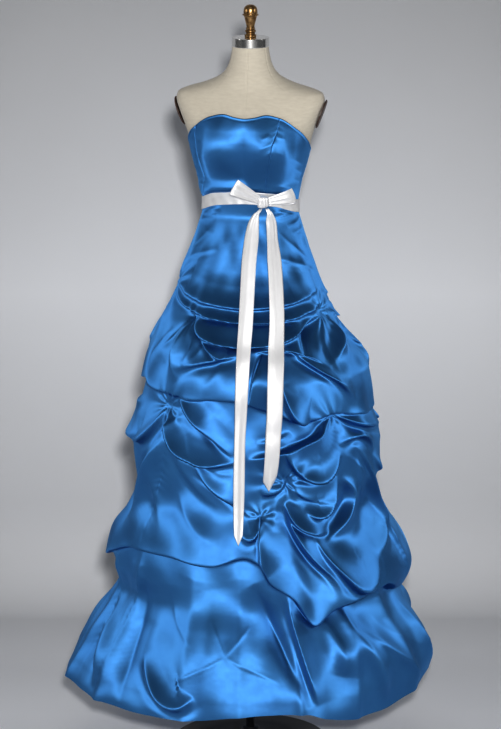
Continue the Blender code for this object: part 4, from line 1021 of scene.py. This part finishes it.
# The heights and angles over which the tails need to know the skirt, and their steps.
LEVELS, LEVEL_STEP = (0.58, 1.42), 0.002
COLUMNS, COLUMN_STEP = (-6, 44), 0.5


def skirt_surface():
    """For each angle the farthest reach of the cloth at evenly spaced heights."""
    levels = np.arange(*LEVELS, LEVEL_STEP)
    reach = np.hypot(skirt[..., 0], skirt[..., 1])
    real = np.degrees(np.arctan2(skirt[..., 0], -skirt[..., 1]))
    columns = np.arange(*COLUMNS, COLUMN_STEP)
    field = np.zeros((len(levels), len(columns)))
    i = np.clip(np.round((skirt[..., 2] - levels[0]) / LEVEL_STEP).astype(int), 0, len(levels) - 1)
    j = np.round((turned(real) - columns[0]) / COLUMN_STEP).astype(int)
    inside = (j >= 0) & (j < len(columns))
    inside &= (skirt[..., 2] > levels[0]) & (skirt[..., 2] < levels[-1])
    np.maximum.at(field, (i[inside], j[inside]), reach[inside])
    for _ in range(3):
        near = np.stack([
            np.roll(field, shift, axis) for axis in (0, 1) for shift in (-1, 1)
        ] + [field])
        field = np.where(field == 0, near.max(0), field)
    return levels, columns, field


SURFACE = skirt_surface()


def worn_reach(angle, height, span):
    """The farthest reach under a patch of ribbon."""
    levels, columns, field = SURFACE
    i = np.abs(levels - height) < 0.009
    j = np.abs(columns - angle) < span
    return field[np.ix_(i, j)].max()


def softened(values, width):
    """A row of values averaged over a soft window."""
    kernel = np.hanning(width) / np.hanning(width).sum()
    half = width // 2
    ends = np.concatenate([np.full(half, values[0]), values, np.full(half, values[-1])])
    return np.convolve(ends, kernel, "valid")


def make_tail(name, rows, twist):
    """A ribbon hanging over the skirt, clear of its folds."""
    top, foot = rows[0][0], rows[-2][0]
    heights = np.linspace(top, foot, TAIL_STEPS)
    middles, widths = smooth(heights, rows, 1), smooth(heights, rows, 2)
    lifts = []
    for height, angle, width in zip(heights, middles, widths):
        worn = form_reach(np.array([angle]), np.array([max(height, HIP_FOOT)]))[0] + TAIL_OVER_SASH
        span = math.degrees(width / 2 / max(worn, 0.1)) + 0.6
        lift = worn_reach(angle, height, span)
        if height > TAIL_ON_SASH:
            lift = max(lift, worn)
        lifts.append(lift)
    lifts = np.array(lifts) + TAIL_CLEAR
    knot_middle = knot_frame()[0]
    lifts[0] = math.hypot(knot_middle[0], knot_middle[1])
    hang = lifts.copy()
    for i in range(len(lifts)):
        for j in range(max(0, i - TAIL_SPAN), i, 3):
            for k in range(i + 1, min(len(lifts), i + TAIL_SPAN), 3):
                share = (heights[j] - heights[i]) / (heights[j] - heights[k])
                hang[i] = max(hang[i], lifts[j] + (lifts[k] - lifts[j]) * share)
    hang = softened(hang, HANG_SOFT)
    short = np.maximum(lifts - hang, 0)
    short = np.array([short[max(0, i - 9):i + 10].max() for i in range(len(short))])
    hang += softened(short, LIFT_SOFT)
    across = np.linspace(-0.5, 0.5, 13)
    share = np.linspace(0, 1, len(heights))
    points = []
    tip = rows[-1][0]
    for n, (height, angle, width, lift) in enumerate(zip(heights, middles, widths, hang)):
        turn = np.radians(angle) + across * width / lift
        crown = 0.0010 * (1 - (across * 2) ** 2) * math.sin(share[n] * 9 + 1)
        crown = crown - TAIL_TURN * width * np.abs(across + 0.12)
        crown = crown + 0.0011 * np.sin(across * 19 + 0.7 + twist) * math.exp(-share[n] / 0.12)
        lean = twist * 0.010 * math.sin(share[n] * 5.2 + 0.6) * across * 2 * min(1, share[n] * 8)
        out = lift + crown + TAIL_TURN * width * 0.62 + np.maximum(lean, -TAIL_CLEAR)
        last = max(0.0, (share[n] - TAIL_CUT) / TAIL_CUT_OVER)
        slant = (height - tip) * last * (0.5 - np.abs(across)) * 2.0 if last else 0.0
        points.append(np.stack([out * np.sin(turn), -out * np.cos(turn), height - slant + 0 * turn], -1))
    made = shell(name + "_ribbon", np.array(points), RIBBON_WALL, WHITE, [name])


make_tail("bow_tail_r", TAIL_R, 0.5)
make_tail("bow_tail_l", TAIL_L, -0.5)


# The form and the stand

# Where the form's rounded foot ends and its finer rows begin, and the ring seam at the neck.
FOOT_ROLL, BUST_FOOT = 1.085, 1.48
NECK_RING, NECK_RISE = 1.68, 0.016


def make_form():
    heights = list(np.linspace(TORSO_FOOT, FOOT_ROLL, 8)[:-1])
    heights += list(np.linspace(FOOT_ROLL, BUST_FOOT, 60)[:-1])
    heights += list(np.linspace(BUST_FOOT, NECK_TOP, 110))
    step = np.linspace(0, math.tau, 240, endpoint=False)
    columns = np.degrees(np.arctan2(1.25 * np.sin(step), np.cos(step)))
    grid_angles, grid_heights = np.meshgrid(columns, heights)
    reach = form_reach(grid_angles, grid_heights)
    a = np.abs(turned(grid_angles))
    # The sewn seams: centre front and back, princess seams, and a ring at the neck.
    offsets = [turned(grid_angles), turned(grid_angles - 180)]
    offsets += [turned(grid_angles) + 58, turned(grid_angles) - 62, a - 138]
    for offset in offsets:
        x = np.radians(offset) * reach
        reach -= 0.0009 * bell(x, 0.0012)
        reach += 0.0003 * bell(np.abs(x) - 0.0035, 0.0016)
    ring = NECK_RING + NECK_RISE * (1 - np.cos(np.radians(turned(grid_angles)))) / 2 * 1.9
    z = grid_heights - ring
    reach -= 0.0008 * bell(z, 0.0011)
    points = ring_point(grid_angles, reach, grid_heights)
    faces = grid_faces(*grid_angles.shape, True, flip=True)
    made = add_mesh("form_linen", points, faces, LINEN, ["form_torso"])


make_form()


def fine_profile(rows, count=6):
    """A turned profile with its rows rounded together."""
    rows = np.array(rows)
    fine = np.linspace(0, len(rows) - 1, (len(rows) - 1) * count + 1)
    table = [(i, r, z) for i, (r, z) in enumerate(rows)]
    return np.stack([smooth(fine, table, 1), smooth(fine, table, 2)], -1)


def make_neck():
    cap_foot = NECK_TOP + SEAM_GAP
    cap = [(0.0, 0.0), (CAP_RADIUS - 0.0008, 0.0), (CAP_RADIUS, 0.0008)]
    cap += [(CAP_RADIUS, z) for z in np.linspace(0.002, CAP_HEIGHT - 0.0026, 8)]
    for turn in np.linspace(0, math.pi / 2, 7):
        round_x, round_z = CAP_ROUND * math.cos(turn), CAP_ROUND * math.sin(turn)
        cap.append((CAP_RADIUS - CAP_ROUND + round_x, CAP_HEIGHT - CAP_ROUND + round_z))
    cap += [(0.030, CAP_HEIGHT), (0.0, CAP_HEIGHT)]
    turned_mesh("neck_cap_steel", cap, 128, STEEL, ["neck_cap"], cap_foot)
    finial_rows = (
        (0.0125, 0.0000), (0.0138, 0.0020), (0.0138, 0.0050), (0.0112, 0.0072), (0.0102, 0.0095),
        (0.0120, 0.0125), (0.0128, 0.0150), (0.0118, 0.0172), (0.0096, 0.0190), (0.0108, 0.0205),
        (0.0108, 0.0222), (0.0094, 0.0240), (0.0100, 0.0290), (0.0128, 0.0400), (0.0150, 0.0490),
        (0.0160, 0.0512), (0.0188, 0.0524), (0.0190, 0.0544), (0.0162, 0.0556), (0.0166, 0.0600),
        (0.0158, 0.0670), (0.0130, 0.0725), (0.0080, 0.0762), (0.0030, 0.0775), (0.0, 0.0776),
    )
    profile = fine_profile(finial_rows)
    foot = cap_foot + CAP_HEIGHT + SEAM_GAP
    turned_mesh("finial_bronze", profile, 72, BRONZE, ["finial"], foot)


def make_stand():
    base = [(0.0, 0.0), (BASE_RADIUS - 0.002, 0.0), (BASE_RADIUS, 0.002), (BASE_RADIUS, 0.010)]
    base += [(BASE_RADIUS - 0.004, 0.0135), (0.120, 0.0175), (0.040, 0.0210), (0.024, 0.0240)]
    base += [(0.0215, 0.0280), (0.0215, COLLAR_TOP - 0.002), (0.0195, COLLAR_TOP), (0.0, COLLAR_TOP)]
    turned_mesh("base_black_disc", base, 128, BLACK, ["stand_base"], 0.0)
    length = TORSO_FOOT - COLLAR_TOP - 2 * SEAM_GAP
    pole = [(0.0, 0.0), (POLE_RADIUS, 0.0), (POLE_RADIUS, length / 2), (POLE_RADIUS, length), (0.0, length)]
    turned_mesh("pole_chrome_tube", pole, 64, CHROME, ["pole"], COLLAR_TOP + SEAM_GAP)


make_neck()
make_stand()

for node, material, slot in (
    ("arm_plate_l", PLATE, "arm_plate"),
    ("arm_plate_r", PLATE, "arm_plate"),
    ("zip_slider", ZIP, "zip_metal"),
    ("zip_tab", ZIP, "zip_metal"),
):
    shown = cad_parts[node]
    shown.data.materials.clear()
    shown.data.materials.append(material)


# The studio

VIEW_TURN = math.radians(VIEW_AZIMUTH)
WALL_BEHIND = 1.22
SWEEP = 0.22
# Painted light and shade in the paper's colour along it, from the floor in front (0) over the sweep (0.5)
# to the wall's top (1): bright where the lamps would light it, darker at the sweep and the top.
PAPER_PAINTED_LIGHT = ((0.25, 1.0), (0.47, 0.72), (0.57, 0.68), (0.72, 0.81), (0.92, 0.50))
PAPER_REACH = 4.0
# Painted shade towards the paper's two side edges: how fast it darkens, and the least share of colour it
# leaves.
EDGE_PAINTED_SHADE, EDGE_SHADE_LEAST = 0.22, 0.8
PAPER_SIDE, PAPER_FRONT, PAPER_NEAR, PAPER_TOP = 4.5, -9.5, -2.0, 5.0


def make_studio():
    """One sheet of grey paper: floor, a tight sweep and the wall, with painted light and shade in its
    colour.
    """
    profile = [(PAPER_FRONT, 0.0), (PAPER_NEAR, 0.0), (WALL_BEHIND - SWEEP, 0.0)]
    for turn in np.linspace(0.1, math.pi / 2, 14):
        profile.append((WALL_BEHIND - SWEEP + SWEEP * math.sin(turn), SWEEP - SWEEP * math.cos(turn)))
    profile.append((WALL_BEHIND, PAPER_TOP))
    points = [(x, y, z) for y, z in profile for x in (-PAPER_SIDE, PAPER_SIDE)]
    mesh = bpy.data.meshes.new("studio_paper")
    mesh.from_pydata(points, [], [tuple(f) for f in grid_faces(len(profile), 2, False, flip=True)])
    mesh.shade_smooth()
    m = Maker("grey_paper_painted_light")
    greys = ((0.3, (0.875, 0.888, 0.920)), (0.7, (0.920, 0.933, 0.965)))
    tone = m.ramp(m.noise(1.2, 4.0), "Fac", greys)
    # Painted light and shade: the paper's colour falls off along the floor, up the wall and towards both
    # edges, as the lamps' light would.
    place = m.node("ShaderNodeTexCoord")
    parts = m.node("ShaderNodeSeparateXYZ")
    m.join(place, "Object", parts, "Vector")
    along = m.maths("ADD", (parts, "Y"), (parts, "Z"))
    along = m.maths("ADD", (along, "Value"), PAPER_REACH / 2 - WALL_BEHIND)
    along = m.maths("DIVIDE", (along, "Value"), PAPER_REACH)
    shade = m.ramp(along, "Value", tuple((at, (grey, grey, grey)) for at, grey in PAPER_PAINTED_LIGHT))
    painted_edge_darkening = m.maths("MULTIPLY", (parts, "X"), (parts, "X"))
    painted_edge_darkening = m.maths("MULTIPLY", (painted_edge_darkening, "Value"), -EDGE_PAINTED_SHADE)
    painted_edge_darkening = m.maths("ADD", (painted_edge_darkening, "Value"), 1.0)
    painted_edge_darkening = m.maths("MAXIMUM", (painted_edge_darkening, "Value"), EDGE_SHADE_LEAST)
    edges = m.node("ShaderNodeCombineColor")
    for channel in ("Red", "Green", "Blue"):
        m.join(painted_edge_darkening, "Value", edges, channel)
    # The paper's own grey, multiplied by the painted falloff and the painted edge shade.
    mixed = m.times(m.times(tone.outputs["Color"], shade.outputs["Color"]), edges.outputs["Color"])
    m.tree.links.new(mixed, m.shader.inputs["Base Color"])
    m.set(Roughness=0.85, Specular_IOR_Level=0.2)
    m.bump(m.noise(80.0, 4.0), "Fac", 0.05, 0.002)
    mesh.materials.append(m.material)
    paper = bpy.data.objects.new("studio_paper", mesh)
    paper.rotation_euler[2] = VIEW_TURN
    bpy.context.collection.objects.link(paper)


make_studio()


def area_light(name, place, aim, size, energy, colour=(1, 1, 1)):
    data = bpy.data.lights.new(name, "AREA")
    data.shape = "RECTANGLE"
    data.size, data.size_y = size
    data.energy = energy
    data.color = colour
    made = bpy.data.objects.new(name, data)
    made.location = place
    direction = np.array(aim) - np.array(place)
    made.rotation_mode = "QUATERNION"
    made.rotation_quaternion = Vector(direction).to_track_quat("-Z", "Y")
    bpy.context.collection.objects.link(made)


# The lamps: name, degrees round from the front, distance, height, size and watts. A flash by the
# camera and a wide soft lamp at each side, so that the satin shines along its folds.
LAMPS = (
    ("flash", 10.0, 8.0, 3.30, (0.28, 0.28), 575),
    ("soft_left", -66.0, 4.2, 2.40, (1.2, 0.4), 26),
    ("soft_right", 84.0, 4.2, 2.40, (1.2, 0.4), 26),
)
LAMP_AIM = (0, 0, 1.0)
LAMP_COLOUR = (1.0, 0.99, 0.975)
for name, around, away, high, size, watts in LAMPS:
    a = math.radians(around)
    place = (away * math.sin(a), -away * math.cos(a), high)
    area_light(name, place, LAMP_AIM, size, watts, LAMP_COLOUR)
area_light("top", (0.0, -1.5, 4.4), LAMP_AIM, (3.0, 2.0), 10)

world = bpy.data.worlds.new("studio")
bpy.context.scene.world = world
world.use_nodes = True
background = world.node_tree.nodes["Background"]
background.inputs["Color"].default_value = (0.60, 0.62, 0.66, 1)
background.inputs["Strength"].default_value = 0.06

camera_data = bpy.data.cameras.new("camera")
camera_data.lens = CAMERA_LENS
camera_data.sensor_width = SENSOR_WIDTH
camera_data.clip_end = 60
camera = bpy.data.objects.new("camera", camera_data)
camera.location = (CAMERA_AWAY * math.sin(VIEW_TURN), -CAMERA_AWAY * math.cos(VIEW_TURN), CAMERA_HIGH)
camera.rotation_euler = (math.radians(90 - CAMERA_PITCH), 0, VIEW_TURN)
bpy.context.collection.objects.link(camera)
bpy.context.scene.camera = camera
bpy.context.scene.view_settings.view_transform = "Standard"
bpy.context.scene.view_settings.gamma = PICTURE_GAMMA
